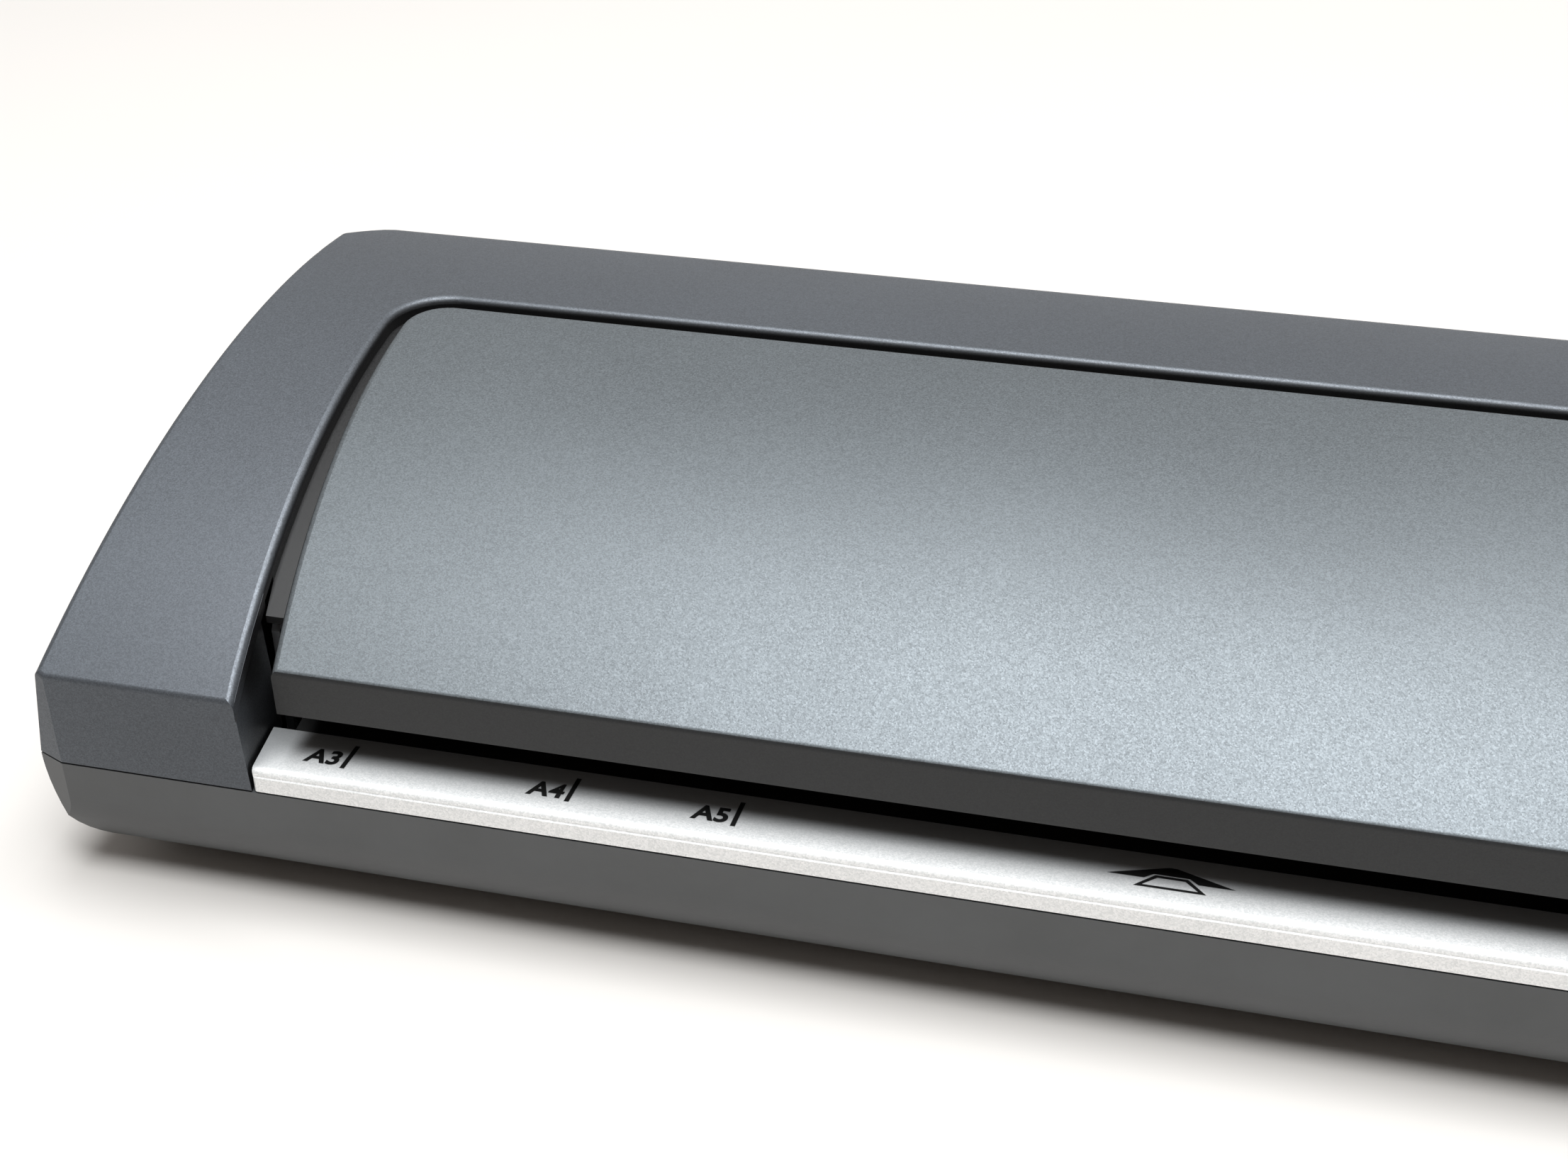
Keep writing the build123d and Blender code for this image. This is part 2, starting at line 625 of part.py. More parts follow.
# ---------------------------------------------------------------- side frames
def side_frame(inner, out):
    """Sheet-steel side plate: inner face at x = inner, feet bent outwards along out (+1 or -1)."""
    low = min(inner, inner + out * SHEET)
    with BuildPart() as made:
        outline = [(-52, FLOOR_Z + PAD), (-52, 46), (-46, 54.6), (-40.5, 57.4), (-24, 61.5), (34, 64)]
        outline += [(41, 58), (41, FLOOR_Z + PAD)]
        add(strip(outline, low, low + SHEET))
        for y0, y1 in FLANGES:
            foot = sorted((inner, inner + out * FOOT_LENGTH))
            add(block(*foot, y0, y1, FLOOR_Z + PAD, FLOOR_Z + PAD + SHEET))
            hole = post(SCREW_RADIUS + SNUG, inner + out * FOOT_HOLE, (y0 + y1) / 2, 0, 10)
            add(hole, mode=Mode.SUBTRACT)
        # tabs that hold the springs down
        for y in (FEED_Y, EXIT_Y):
            tab = sorted((inner, inner - out * 10))
            add(block(*tab, y - 4.2, y + 4.2, SPRING_HIGH, SPRING_HIGH + SHEET))
        with BuildSketch(Plane.YZ.offset(low)):
            with Locations((FEED_Y, LOWER_Z), (EXIT_Y, LOWER_Z)):
                Circle(BUSH_RADIUS + SNUG)
            with Locations((FEED_Y, UPPER_Z + LIFT / 2), (EXIT_Y, UPPER_Z + LIFT / 2)):
                Rectangle(BLOCK_SIDE + 2 * CLEAR, BLOCK_SIDE + LIFT + 2 * CLEAR)
            with Locations((CAM_Y, CAM_Z)):
                Circle(CAMSHAFT_RADIUS + RUNNING)
            with Locations(*TIES):
                Circle(SCREW_RADIUS + SNUG)
            with Locations((CAM_Y, 39.6)):
                Rectangle(9, 3)
        extrude(amount=SHEET, mode=Mode.SUBTRACT)
    return made


left_side_frame = side_frame(LEFT, -1)
keep(left_side_frame, "left_side_frame")

right_plate = side_frame(RIGHT, 1)
with BuildPart() as right_side_frame:
    add(right_plate.part)
    with BuildSketch(Plane.YZ.offset(RIGHT)):
        with Locations(*STANDOFFS):
            Circle(SCREW_RADIUS + SNUG)
        with Locations((IDLER_Y, LOWER_Z)):
            Circle(2 + SNUG)
    extrude(amount=SHEET, mode=Mode.SUBTRACT)
keep(right_side_frame, "right_side_frame")

with BuildPart() as tie_bars:
    for y, z in TIES:
        add(rod(TIE_RADIUS, LEFT + SNUG, RIGHT - SNUG, y, z))
        for x in (LEFT, RIGHT - 8):
            add(rod(SCREW_RADIUS + SNUG, x, x + 8, y, z), mode=Mode.SUBTRACT)
keep(tie_bars, "tie_bars")

# ---------------------------------------------------------------- rollers
SLEEVE = (SLOT_X - SLEEVE_HALF, SLOT_X + SLEEVE_HALF)
SHAFT = (LEFT - SHAFT_OUT, GEAR_X + GEAR_WIDTH + 0.5)
ROLLERS = {
    "lower_feed": (FEED_Y, LOWER_Z, 0),
    "upper_feed": (FEED_Y, UPPER_Z, 180 / ROLLER_TEETH),
    "lower_exit": (EXIT_Y, LOWER_Z, 0),
    "upper_exit": (EXIT_Y, UPPER_Z, 180 / ROLLER_TEETH),
}
for name, (y, z, phase) in ROLLERS.items():
    with BuildPart() as shaft:
        add(rod(SHAFT_RADIUS, *SHAFT, y, z))
        chamfer(shaft.edges().filter_by(GeomType.CIRCLE), 0.5)
    keep(shaft, f"{name}_shaft")
    with BuildPart() as sleeve:
        add(rod(ROLLER_RADIUS, *SLEEVE, y, z))
        fillet(sleeve.edges().filter_by(GeomType.CIRCLE), 0.8)
        add(rod(SHAFT_RADIUS, *SLEEVE, y, z), mode=Mode.SUBTRACT)
    keep(sleeve, f"{name}_sleeve")
    with BuildPart() as wheel:
        add(gear(ROLLER_TEETH, phase, SHAFT_RADIUS, GEAR_X, GEAR_WIDTH, y, z))
    keep(wheel, f"{name}_gear")

with BuildPart() as lower_bushes:
    for y in (FEED_Y, EXIT_Y):
        for inner, out in ((LEFT, -1), (RIGHT, 1)):
            barrel = sorted((inner - out * 1.5, inner + out * (SHEET + 1.5)))
            flange = sorted((inner - out * 1.5, inner - out * SNUG))
            add(rod(BUSH_RADIUS, *barrel, y, LOWER_Z))
            add(rod(BUSH_FLANGE, *flange, y, LOWER_Z))
            add(rod(SHAFT_RADIUS + RUNNING, *barrel, y, LOWER_Z), mode=Mode.SUBTRACT)
keep(lower_bushes, "lower_bushes")

# ---------------------------------------------------------------- lifting carriage of the upper rollers
with BuildPart() as upper_bush_blocks:
    half = BLOCK_SIDE / 2
    for y in (FEED_Y, EXIT_Y):
        for x0, x1 in ((LEFT - 3, SLOT_X - LIFTER_OUT - SNUG), (SLOT_X + LIFTER_OUT + SNUG, RIGHT + 3)):
            add(block(x0, x1, y - half, y + half, UPPER_Z - half, UPPER_Z + half))
            add(rod(SHAFT_RADIUS + RUNNING, x0, x1, y, UPPER_Z), mode=Mode.SUBTRACT)
keep(upper_bush_blocks, "upper_bush_blocks")


def lifter(side):
    """Sheet plate that carries the upper rollers at one end of the machine."""
    x0, x1 = sorted((SLOT_X + side * LIFTER_IN, SLOT_X + side * LIFTER_OUT))
    y0, y1 = FEED_Y - 9, EXIT_Y + 9
    with BuildPart() as made:
        outline = [(y0, 35.5), (y0, SPRING_LOW), (CAM_Y - 12, SPRING_LOW), (CAM_Y - 12, 61)]
        outline += [(CAM_Y + 12, 61), (CAM_Y + 12, SPRING_LOW), (y1, SPRING_LOW), (y1, 35.5)]
        outline += [(y1 - 18, 35.5), (y1 - 18, 40.6), (y0 + 18, 40.6), (y0 + 18, 35.5)]
        add(strip(outline, x0, x1))
        for y in (FEED_Y, EXIT_Y):
            shelf = sorted((SLOT_X + side * LIFTER_IN, SLOT_X + side * (SLEEVE_HALF + 2.6)))
            add(block(*shelf, y - 5, y + 5, SPRING_LOW - 2, SPRING_LOW))
        with BuildSketch(Plane.YZ.offset(x0)):
            with Locations((FEED_Y, UPPER_Z), (EXIT_Y, UPPER_Z)):
                Circle(SHAFT_RADIUS + RUNNING)
            with Locations((CAM_Y, CAM_Z - 0.25)):
                Rectangle(18, 2 * CAM_RADIUS + 1.5)
        extrude(amount=x1 - x0, mode=Mode.SUBTRACT)
    return made


keep(lifter(-1), "left_lifter")
keep(lifter(1), "right_lifter")

with BuildPart() as carriage_tie:
    ends = (SLOT_X - LIFTER_IN + SNUG, SLOT_X + LIFTER_IN - SNUG)
    add(block(*ends, CAM_Y - 12, CAM_Y - 6, 59.8, 61))
    add(block(*ends, CAM_Y - 12, CAM_Y - 10.8, 54, 61))
keep(carriage_tie, "carriage_tie")

with BuildPart() as pressure_springs:
    low = SPRING_LOW + SPRING_WIRE + 0.1
    height = SPRING_HIGH - SPRING_LOW - 2 * SPRING_WIRE - 0.2
    for x in (SLOT_X - SPRING_X, SLOT_X + SPRING_X):
        for y in (FEED_Y, EXIT_Y):
            with BuildLine() as coil:
                Helix(height / SPRING_TURNS, height, SPRING_RADIUS, center=(x, y, low))
            with BuildSketch(Plane(origin=coil.line @ 0, z_dir=coil.line % 0)):
                Circle(SPRING_WIRE)
            sweep(path=coil.line)
keep(pressure_springs, "pressure_springs")

# ---------------------------------------------------------------- release shaft, cams and lever
with BuildPart() as cam_shaft:
    add(rod(CAMSHAFT_RADIUS, LEFT - 5, LEVER_X + 6, CAM_Y, CAM_Z))
    chamfer(cam_shaft.edges().filter_by(GeomType.CIRCLE), 0.4)
keep(cam_shaft, "cam_shaft")

with BuildPart() as lift_cams:
    # the radius grows evenly with the angle, so the lift follows the lever in step
    points = []
    for turn in range(-25, 90, 5):
        grow = LIFT * turn / CAM_TURN
        bearing = radians(90 + turn)
        points.append(((CAM_RADIUS + grow) * cos(bearing), (CAM_RADIUS + grow) * sin(bearing)))
    for x0 in (SLOT_X - LIFTER_OUT, SLOT_X + LIFTER_IN):
        with BuildSketch(Plane(origin=(x0, CAM_Y, CAM_Z), x_dir=(0, 1, 0), z_dir=(1, 0, 0))):
            with BuildLine():
                Spline(*points)
                Line(points[-1], (0, 0))
                Line((0, 0), points[0])
            make_face()
            Circle(CAM_HUB)
            Circle(CAMSHAFT_RADIUS, mode=Mode.SUBTRACT)
        extrude(amount=LIFTER_OUT - LIFTER_IN)
keep(lift_cams, "lift_cams")

with BuildPart() as release_lever:
    along = (0, cos(radians(LEVER_TILT)), sin(radians(LEVER_TILT)))
    lean = Plane(origin=(LEVER_X - 2.5, CAM_Y, CAM_Z), x_dir=along, z_dir=(1, 0, 0))
    with BuildSketch(lean):
        Circle(6)
        with Locations((0, 12)):
            Rectangle(6, 24)
    extrude(amount=5)
    with BuildSketch(lean):
        with Locations((0, 24)):
            SlotOverall(9, 6)
    extrude(amount=5)
    add(rod(CAMSHAFT_RADIUS, LEVER_X - 10, LEVER_X + 10, CAM_Y, CAM_Z), mode=Mode.SUBTRACT)
keep(release_lever, "release_lever")

# ---------------------------------------------------------------- heater shoes
SHOE = (CAM_Y - SHOE_HALF, CAM_Y + SHOE_HALF)
SHOE_ENDS = (SLOT_X - SHOE_LENGTH_HALF, SLOT_X + SHOE_LENGTH_HALF)
ELEMENT = (SLOT_X - ELEMENT_HALF, SLOT_X + ELEMENT_HALF, CAM_Y - 6, CAM_Y + 6)
with BuildPart() as lower_heater_shoe:
    shoe_side = [(SHOE[0], 28), (SHOE[0] + 3, 31.1), (SHOE[1] - 3, 31.1), (SHOE[1], 28)]
    shoe_side += [(SHOE[1], 25.2), (SHOE[1] - 5, 25.2), (SHOE[1] - 5, 27.2)]
    shoe_side += [(SHOE[0] + 5, 27.2), (SHOE[0] + 5, 25.2), (SHOE[0], 25.2)]
    add(strip(shoe_side, *SHOE_ENDS))
    for x0, x1 in ((LEFT + SNUG, SHOE_ENDS[0]), (SHOE_ENDS[1], RIGHT - SNUG)):
        add(block(x0, x1, CAM_Y - 10, CAM_Y + 10, 27.2, 30.2))
keep(lower_heater_shoe, "lower_heater_shoe")

with BuildPart() as upper_heater_shoe:
    shoe_side = [(SHOE[0], 36), (SHOE[0] + 3, 32.9), (SHOE[1] - 3, 32.9), (SHOE[1], 36)]
    shoe_side += [(SHOE[1], 38.6), (SHOE[1] - 5, 38.6), (SHOE[1] - 5, 36.6)]
    shoe_side += [(SHOE[0] + 5, 36.6), (SHOE[0] + 5, 38.6), (SHOE[0], 38.6)]
    add(strip(shoe_side, *SHOE_ENDS))
    for x0, x1 in ((LEFT + SNUG, SHOE_ENDS[0]), (SHOE_ENDS[1], RIGHT - SNUG)):
        add(block(x0, x1, CAM_Y - 10, CAM_Y + 10, 33.6, 36.6))
keep(upper_heater_shoe, "upper_heater_shoe")

with BuildPart() as lower_heater_element:
    add(block(*ELEMENT, 25.6, 27.2 - SNUG))
keep(lower_heater_element, "lower_heater_element")

with BuildPart() as upper_heater_element:
    add(block(*ELEMENT, 36.6 + SNUG, 38.2))
keep(upper_heater_element, "upper_heater_element")

with BuildPart() as thermostat:
    add(post(6.5, SLOT_X - 60, CAM_Y, 38.25, 42))
    add(post(4.5, SLOT_X - 60, CAM_Y, 42, 45.5))
keep(thermostat, "thermostat")

with BuildPart() as thermal_fuse:
    add(rod(2, SLOT_X + 20, SLOT_X + 32, CAM_Y, 40.3))
    add(rod(0.5, SLOT_X + 12, SLOT_X + 40, CAM_Y, 40.3))
keep(thermal_fuse, "thermal_fuse")

# ---------------------------------------------------------------- drive
with BuildPart() as idler_gear:
    add(gear(IDLER_TEETH, 180 / IDLER_TEETH, 3 + RUNNING, GEAR_X, GEAR_WIDTH, IDLER_Y, LOWER_Z))
    for x0 in (GEAR_X, GEAR_X + GEAR_WIDTH - 2):
        ring = cut(rod(12, x0, x0 + 2, IDLER_Y, LOWER_Z), rod(6, x0, x0 + 2, IDLER_Y, LOWER_Z))
        add(ring, mode=Mode.SUBTRACT)
keep(idler_gear, "idler_gear")

with BuildPart() as idler_pin:
    add(rod(2, RIGHT, RIGHT + 4, IDLER_Y, LOWER_Z))
    add(rod(5, RIGHT + SHEET + SNUG, GEAR_X - 0.2, IDLER_Y, LOWER_Z))
    add(rod(3, RIGHT + 4, GEAR_X + GEAR_WIDTH + 0.3, IDLER_Y, LOWER_Z))
    add(rod(4.4, GEAR_X + GEAR_WIDTH + 0.3, GEAR_X + GEAR_WIDTH + 1.2, IDLER_Y, LOWER_Z))
keep(idler_pin, "idler_pin")

with BuildPart() as motor_pinion:
    add(gear(PINION_TEETH, 180 / PINION_TEETH, 1, GEAR_X, GEAR_WIDTH, PINION_Y, LOWER_Z))
    add(rod(3, GEAR_X - 1, MOTOR_X + 6, PINION_Y, LOWER_Z))
keep(motor_pinion, "motor_pinion")

PLATE_X = MOTOR_X - SHEET
with BuildPart() as motor_bracket:
    plate = [(18, 52), (18, 62), (42, 62), (66, 52), (66, 16), (56, 5.5), (18, 5.5), (18, 12)]
    plate += [(24, 15), (24, 34)]
    add(strip(plate, PLATE_X, MOTOR_X))
    for y, z in STANDOFFS:
        add(rod(3, RIGHT + SHEET + SNUG, PLATE_X, y, z))
        add(rod(SCREW_RADIUS + SNUG, RIGHT, RIGHT + 9, y, z), mode=Mode.SUBTRACT)
    add(rod(4, PLATE_X, MOTOR_X, PINION_Y, LOWER_Z), mode=Mode.SUBTRACT)
    for y, z in MOTOR_EARS:
        add(rod(SCREW_RADIUS + SNUG, PLATE_X, MOTOR_X, y, z), mode=Mode.SUBTRACT)
keep(motor_bracket, "motor_bracket")

with BuildPart() as gear_motor:
    # gearbox, then the motor's can
    add(rod(MOTOR_RADIUS, MOTOR_X + SNUG, MOTOR_X + 16, MOTOR_Y, MOTOR_Z))
    add(rod(MOTOR_RADIUS - 1, MOTOR_X + 16, MOTOR_X + 32, MOTOR_Y, MOTOR_Z))
    fillet(gear_motor.faces().sort_by(Axis.X)[-1].edges(), 2)
    add(rod(3 + RUNNING, MOTOR_X, MOTOR_X + 7, PINION_Y, LOWER_Z), mode=Mode.SUBTRACT)
    for y, z in MOTOR_EARS:
        add(rod(3.6, MOTOR_X + SNUG, MOTOR_X + 4, y, z))
        add(rod(SCREW_RADIUS + SNUG, MOTOR_X, MOTOR_X + 5, y, z), mode=Mode.SUBTRACT)
    add(block(MOTOR_X + 18, MOTOR_X + 30, MOTOR_Y - 6, MOTOR_Y + 6, MOTOR_Z - 27, MOTOR_Z - 20))
keep(gear_motor, "gear_motor")

# ---------------------------------------------------------------- controls
with BuildPart() as control_panel:
    add(common(inlay(0.1, INLAY_DEEP - SNUG), cover_envelope(0.1, 0)))
    add(control_holes(), mode=Mode.SUBTRACT)
keep(control_panel, "control_panel")

with BuildPart() as power_button:
    with BuildSketch(CONTROLS.offset(-5)):
        with Locations(BUTTON_AT):
            Circle(BUTTON_RADIUS)
    extrude(amount=7)
    fillet(power_button.edges().sort_by(Axis.Z)[-1], 0.8)
    with BuildSketch(CONTROLS.offset(-6)):
        with Locations(BUTTON_AT):
            Circle(BUTTON_RADIUS + 1.5)
    extrude(amount=1.2)
    with BuildSketch(CONTROLS.offset(-11)):
        with Locations(BUTTON_AT):
            Circle(1.5)
    extrude(amount=6)
keep(power_button, "power_button")

with BuildPart() as power_switch:
    with BuildSketch(CONTROLS.offset(-16)):
        with Locations(BUTTON_AT):
            Rectangle(12, 12)
    extrude(amount=8)
    with BuildSketch(CONTROLS.offset(-14)):
        with Locations(BUTTON_AT):
            Circle(1.5 + CLEAR)
    extrude(amount=8, mode=Mode.SUBTRACT)
keep(power_switch, "power_switch")

with BuildPart() as mode_slider:
    with BuildSketch(CONTROLS.offset(0.3)):
        with Locations(SLIDER_AT):
            RectangleRounded(9, 6, 1.2)
    extrude(amount=2)
    chamfer(mode_slider.faces().sort_by(Axis.Z)[-1].edges(), 0.4)
    with BuildSketch(CONTROLS.offset(-11)):
        with Locations(SLIDER_AT):
            Rectangle(SLIDER_STEM, 3)
    extrude(amount=12)
keep(mode_slider, "mode_slider")

with BuildPart() as mode_switch:
    with BuildSketch(CONTROLS.offset(-16)):
        with Locations(SLOT_AT):
            Rectangle(24, 7)
    extrude(amount=10)
    with BuildSketch(CONTROLS.offset(-13)):
        with Locations(SLOT_AT):
            Rectangle(*SLOT_SIZE)
    extrude(amount=8, mode=Mode.SUBTRACT)
keep(mode_switch, "mode_switch")

for name, at in zip(("power_lens", "ready_lens"), LENS_AT):
    with BuildPart() as lens:
        with BuildSketch(CONTROLS.offset(-15.95)):
            with Locations(at):
                Circle(LENS_RADIUS)
        extrude(amount=16.4)
        fillet(lens.edges().sort_by(Axis.Z)[-1], 0.5)
    keep(lens, name)

with BuildPart() as control_board:
    with BuildSketch(CONTROLS.offset(-17.6)):
        with Locations((0, 0)):
            Rectangle(40, 30)
    extrude(amount=1.55)
keep(control_board, "control_board")

# ---------------------------------------------------------------- main board
with BuildPart() as circuit_board:
    add(block(173, 208, -62, 2, BOARD_Z, BOARD_Z + BOARD))
    for x, y in BOARD_POSTS:
        add(post(SCREW_RADIUS + SNUG, x, y, 10, 20), mode=Mode.SUBTRACT)
keep(circuit_board, "circuit_board")

TOP = BOARD_Z + BOARD + SNUG
with BuildPart() as transformer:
    add(block(182, 204, -48, -24, TOP, TOP + 18))
    fillet(transformer.edges().filter_by(Axis.Z), 1)
keep(transformer, "transformer")

with BuildPart() as relay:
    add(block(182, 197, -20, -10, TOP, TOP + 13))
    fillet(relay.edges().filter_by(Axis.Z), 0.6)
keep(relay, "relay")


def lead(points, radius, bend):
    """An insulated wire along straight runs joined by arcs."""
    with BuildPart() as made:
        with BuildLine() as path:
            FilletPolyline(*points, radius=bend)
        with BuildSketch(Plane(origin=path.line @ 0, z_dir=path.line % 0)):
            Circle(radius)
        sweep(path=path.line)
    return made.part


with BuildPart() as motor_leads:
    for x in (MOTOR_X + 21, MOTOR_X + 26):
        route = [(x, MOTOR_Y - 6.1, 9), (x, 8, 9), (x, 8, 19), (x, -1, 19), (x, -1, TOP + SNUG)]
        add(lead(route, LEAD_RADIUS, LEAD_BEND))
keep(motor_leads, "motor_leads")

with BuildPart() as heater_leads:
    for y in (CAM_Y - 2.5, CAM_Y + 2.5):
        route = [(SLOT_X + 149.8, y, 39.3), (176, y, 39.3), (178, y, 36), (178, y, 15.7)]
        add(lead(route, LEAD_RADIUS, LEAD_BEND))
keep(heater_leads, "heater_leads")

with BuildPart() as cord_gland:
    with BuildSketch(Plane.XZ.offset(-REAR_Y)):
        with Locations((GLAND_X, GLAND_Z)):
            Circle(GLAND_RADIUS)
    extrude(amount=1.9)
    fillet(cord_gland.faces().sort_by(Axis.Y)[-1].edges(), 0.6)
    with BuildSketch(Plane.XZ.offset(-REAR_Y + 1)):
        with Locations((GLAND_X, GLAND_Z)):
            Circle(GLAND_RADIUS - GLAND_LIP)
    extrude(amount=GLAND_LENGTH - 1)
    with BuildSketch(Plane.XZ.offset(-REAR_Y)):
        with Locations((GLAND_X, GLAND_Z)):
            Circle(CORD_HOLE)
    extrude(amount=GLAND_LENGTH, mode=Mode.SUBTRACT)
keep(cord_gland, "cord_gland")

with BuildPart() as rubber_feet:
    for x, y in FEET:
        add(post(FOOT_RADIUS, x, y, 0, BASE_Z + FOOT_SEAT - SNUG))
    fillet(rubber_feet.faces().group_by(Axis.Z)[0].edges(), 0.6)
keep(rubber_feet, "rubber_feet")

with BuildPart() as case_screws:
    for x, y in CASE_POSTS:
        add(screw(x, y, BASE_Z + SEAT_DEEP, (0, 0, -1), 26))
keep(case_screws, "case_screws")

with BuildPart() as frame_screws:
    for y0, y1 in FLANGES:
        for x in (LEFT - FOOT_HOLE, RIGHT + FOOT_HOLE):
            add(screw(x, (y0 + y1) / 2, FLOOR_Z + PAD + SHEET, (0, 0, 1), 4))
    for y, z in TIES:
        add(screw(LEFT - SHEET, y, z, (-1, 0, 0), 6))
        add(screw(RIGHT + SHEET, y, z, (1, 0, 0), 6))
    for y, z in STANDOFFS:
        add(screw(RIGHT, y, z, (-1, 0, 0), 6))
    for y, z in MOTOR_EARS:
        add(screw(PLATE_X, y, z, (-1, 0, 0), 5))
    for x, y in BOARD_POSTS:
        add(screw(x, y, BOARD_Z + BOARD, (0, 0, 1), 6))
keep(frame_screws, "frame_screws")
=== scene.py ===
import json
import math

import bmesh
import bpy
from mathutils import Matrix, Vector


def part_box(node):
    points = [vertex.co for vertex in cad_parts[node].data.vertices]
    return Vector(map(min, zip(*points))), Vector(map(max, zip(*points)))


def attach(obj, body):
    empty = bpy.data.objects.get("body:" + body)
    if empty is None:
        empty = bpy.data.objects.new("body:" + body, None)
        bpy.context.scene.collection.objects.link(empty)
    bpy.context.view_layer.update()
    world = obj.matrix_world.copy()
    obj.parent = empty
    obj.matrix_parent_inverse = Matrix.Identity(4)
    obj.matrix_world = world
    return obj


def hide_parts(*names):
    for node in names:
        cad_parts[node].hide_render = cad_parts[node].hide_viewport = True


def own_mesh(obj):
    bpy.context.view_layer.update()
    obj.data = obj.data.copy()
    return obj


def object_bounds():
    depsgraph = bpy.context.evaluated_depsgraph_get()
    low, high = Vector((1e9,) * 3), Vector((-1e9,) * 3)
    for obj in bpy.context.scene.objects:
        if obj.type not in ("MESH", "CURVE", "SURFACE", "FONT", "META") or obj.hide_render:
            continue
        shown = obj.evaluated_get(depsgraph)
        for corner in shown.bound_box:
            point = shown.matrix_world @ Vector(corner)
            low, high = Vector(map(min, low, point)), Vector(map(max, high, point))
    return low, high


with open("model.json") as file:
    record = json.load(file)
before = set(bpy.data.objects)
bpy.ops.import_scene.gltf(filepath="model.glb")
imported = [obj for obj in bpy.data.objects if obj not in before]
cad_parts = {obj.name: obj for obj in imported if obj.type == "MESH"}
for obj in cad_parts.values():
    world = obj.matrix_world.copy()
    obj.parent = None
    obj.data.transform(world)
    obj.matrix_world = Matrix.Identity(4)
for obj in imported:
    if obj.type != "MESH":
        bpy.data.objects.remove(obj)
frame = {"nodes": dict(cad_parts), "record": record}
cad_low, cad_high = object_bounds()
scene = bpy.context.scene
MM = 0.001


# ---------------------------------------------------------------- node helpers
def new_material(name):
    """An empty node material with a Principled shader, and the tree and shader."""
    material = bpy.data.materials.new(name)
    material.use_nodes = True
    tree = material.node_tree
    shader = tree.nodes["Principled BSDF"]
    return material, tree, shader


def node(tree, kind, **values):
    """A shader node with its named properties and input values set."""
    made = tree.nodes.new(kind)
    for key, value in values.items():
        if hasattr(made, key):
            setattr(made, key, value)
        else:
            made.inputs[key.replace("_", " ")].default_value = value
    return made


def place(tree):
    """The object's own coordinates, in metres."""
    return tree.nodes.new("ShaderNodeTexCoord").outputs["Object"]


def noise(tree, size, detail=3.0, roughness=0.5, stretch=(1, 1, 1)):
    """Soft noise whose lumps are about size metres wide."""
    mapping = tree.nodes.new("ShaderNodeMapping")
    mapping.inputs["Scale"].default_value = stretch
    tree.links.new(place(tree), mapping.inputs["Vector"])
    made = node(tree, "ShaderNodeTexNoise", Scale=1 / size, Detail=detail, Roughness=roughness)
    tree.links.new(mapping.outputs["Vector"], made.inputs["Vector"])
    return made.outputs["Fac"]


def flakes(tree, size):
    """Flat cells about size metres wide, each with a random colour."""
    made = node(tree, "ShaderNodeTexVoronoi", Scale=1 / size, Randomness=1.0)
    tree.links.new(place(tree), made.inputs["Vector"])
    return made


def spread(tree, factor, low, high, start=0.0, end=1.0):
    """Maps a factor between start and end onto low to high."""
    made = tree.nodes.new("ShaderNodeMapRange")
    made.inputs["From Min"].default_value = start
    made.inputs["From Max"].default_value = end
    made.inputs["To Min"].default_value = low
    made.inputs["To Max"].default_value = high
    tree.links.new(factor, made.inputs["Value"])
    return made.outputs["Result"]


def blend_colours(tree, factor, first, second):
    """Colour that goes from first to second with the factor."""
    made = tree.nodes.new("ShaderNodeMix")
    made.data_type = "RGBA"
    made.inputs["A"].default_value = (*first, 1)
    made.inputs["B"].default_value = (*second, 1)
    tree.links.new(factor, made.inputs["Factor"])
    return made.outputs["Result"]


def bump(tree, height, strength, depth, after=None):
    """Surface normal roughened by a height factor."""
    made = tree.nodes.new("ShaderNodeBump")
    made.inputs["Strength"].default_value = strength
    made.inputs["Distance"].default_value = depth
    tree.links.new(height, made.inputs["Height"])
    if after is not None:
        tree.links.new(after, made.inputs["Normal"])
    return made.outputs["Normal"]


def product(tree, first, second):
    """One factor times another."""
    made = node(tree, "ShaderNodeMath", operation="MULTIPLY")
    tree.links.new(first, made.inputs[0])
    tree.links.new(second, made.inputs[1])
    return made.outputs["Value"]


def compare(tree, operation, factor, limit):
    """1 where the factor is past the limit, by LESS_THAN or GREATER_THAN, else 0."""
    made = node(tree, "ShaderNodeMath", operation=operation)
    tree.links.new(factor, made.inputs[0])
    made.inputs[1].default_value = limit
    return made.outputs["Value"]


def tinted(colour, amount):
    """The colour made lighter or darker by a factor."""
    return tuple(min(1.0, part * amount) for part in colour)


# ---------------------------------------------------------------- materials
# reach of the ambient occlusion that paints shade into joints and grooves
PAINTED_SHADE_REACH = 12 * MM


def painted_recess_shade(tree):
    """1 on open surfaces, 0 down in joints and grooves, where the paint is darkened as painted shade."""
    shade = node(tree, "ShaderNodeAmbientOcclusion", samples=12)
    shade.inputs["Distance"].default_value = PAINTED_SHADE_REACH
    return spread(tree, shade.outputs["AO"], 0.0, 1.0, 0.55, 0.95)


# the casing's arch runs along x; the floor of the groove round the centre panel lies under it
ARCH_RADIUS = 199.5 * MM
ARCH_Y = 30.3 * MM
ARCH_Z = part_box("centre_panel")[1][2] - ARCH_RADIUS
LEDGE_DEPTH = 2.2 * MM
ALONG_ARCH = 0.9  # least cosine between a face's normal and the arch's radius
LOOKS_UP = 0.6  # least upward part of the normal of a top face


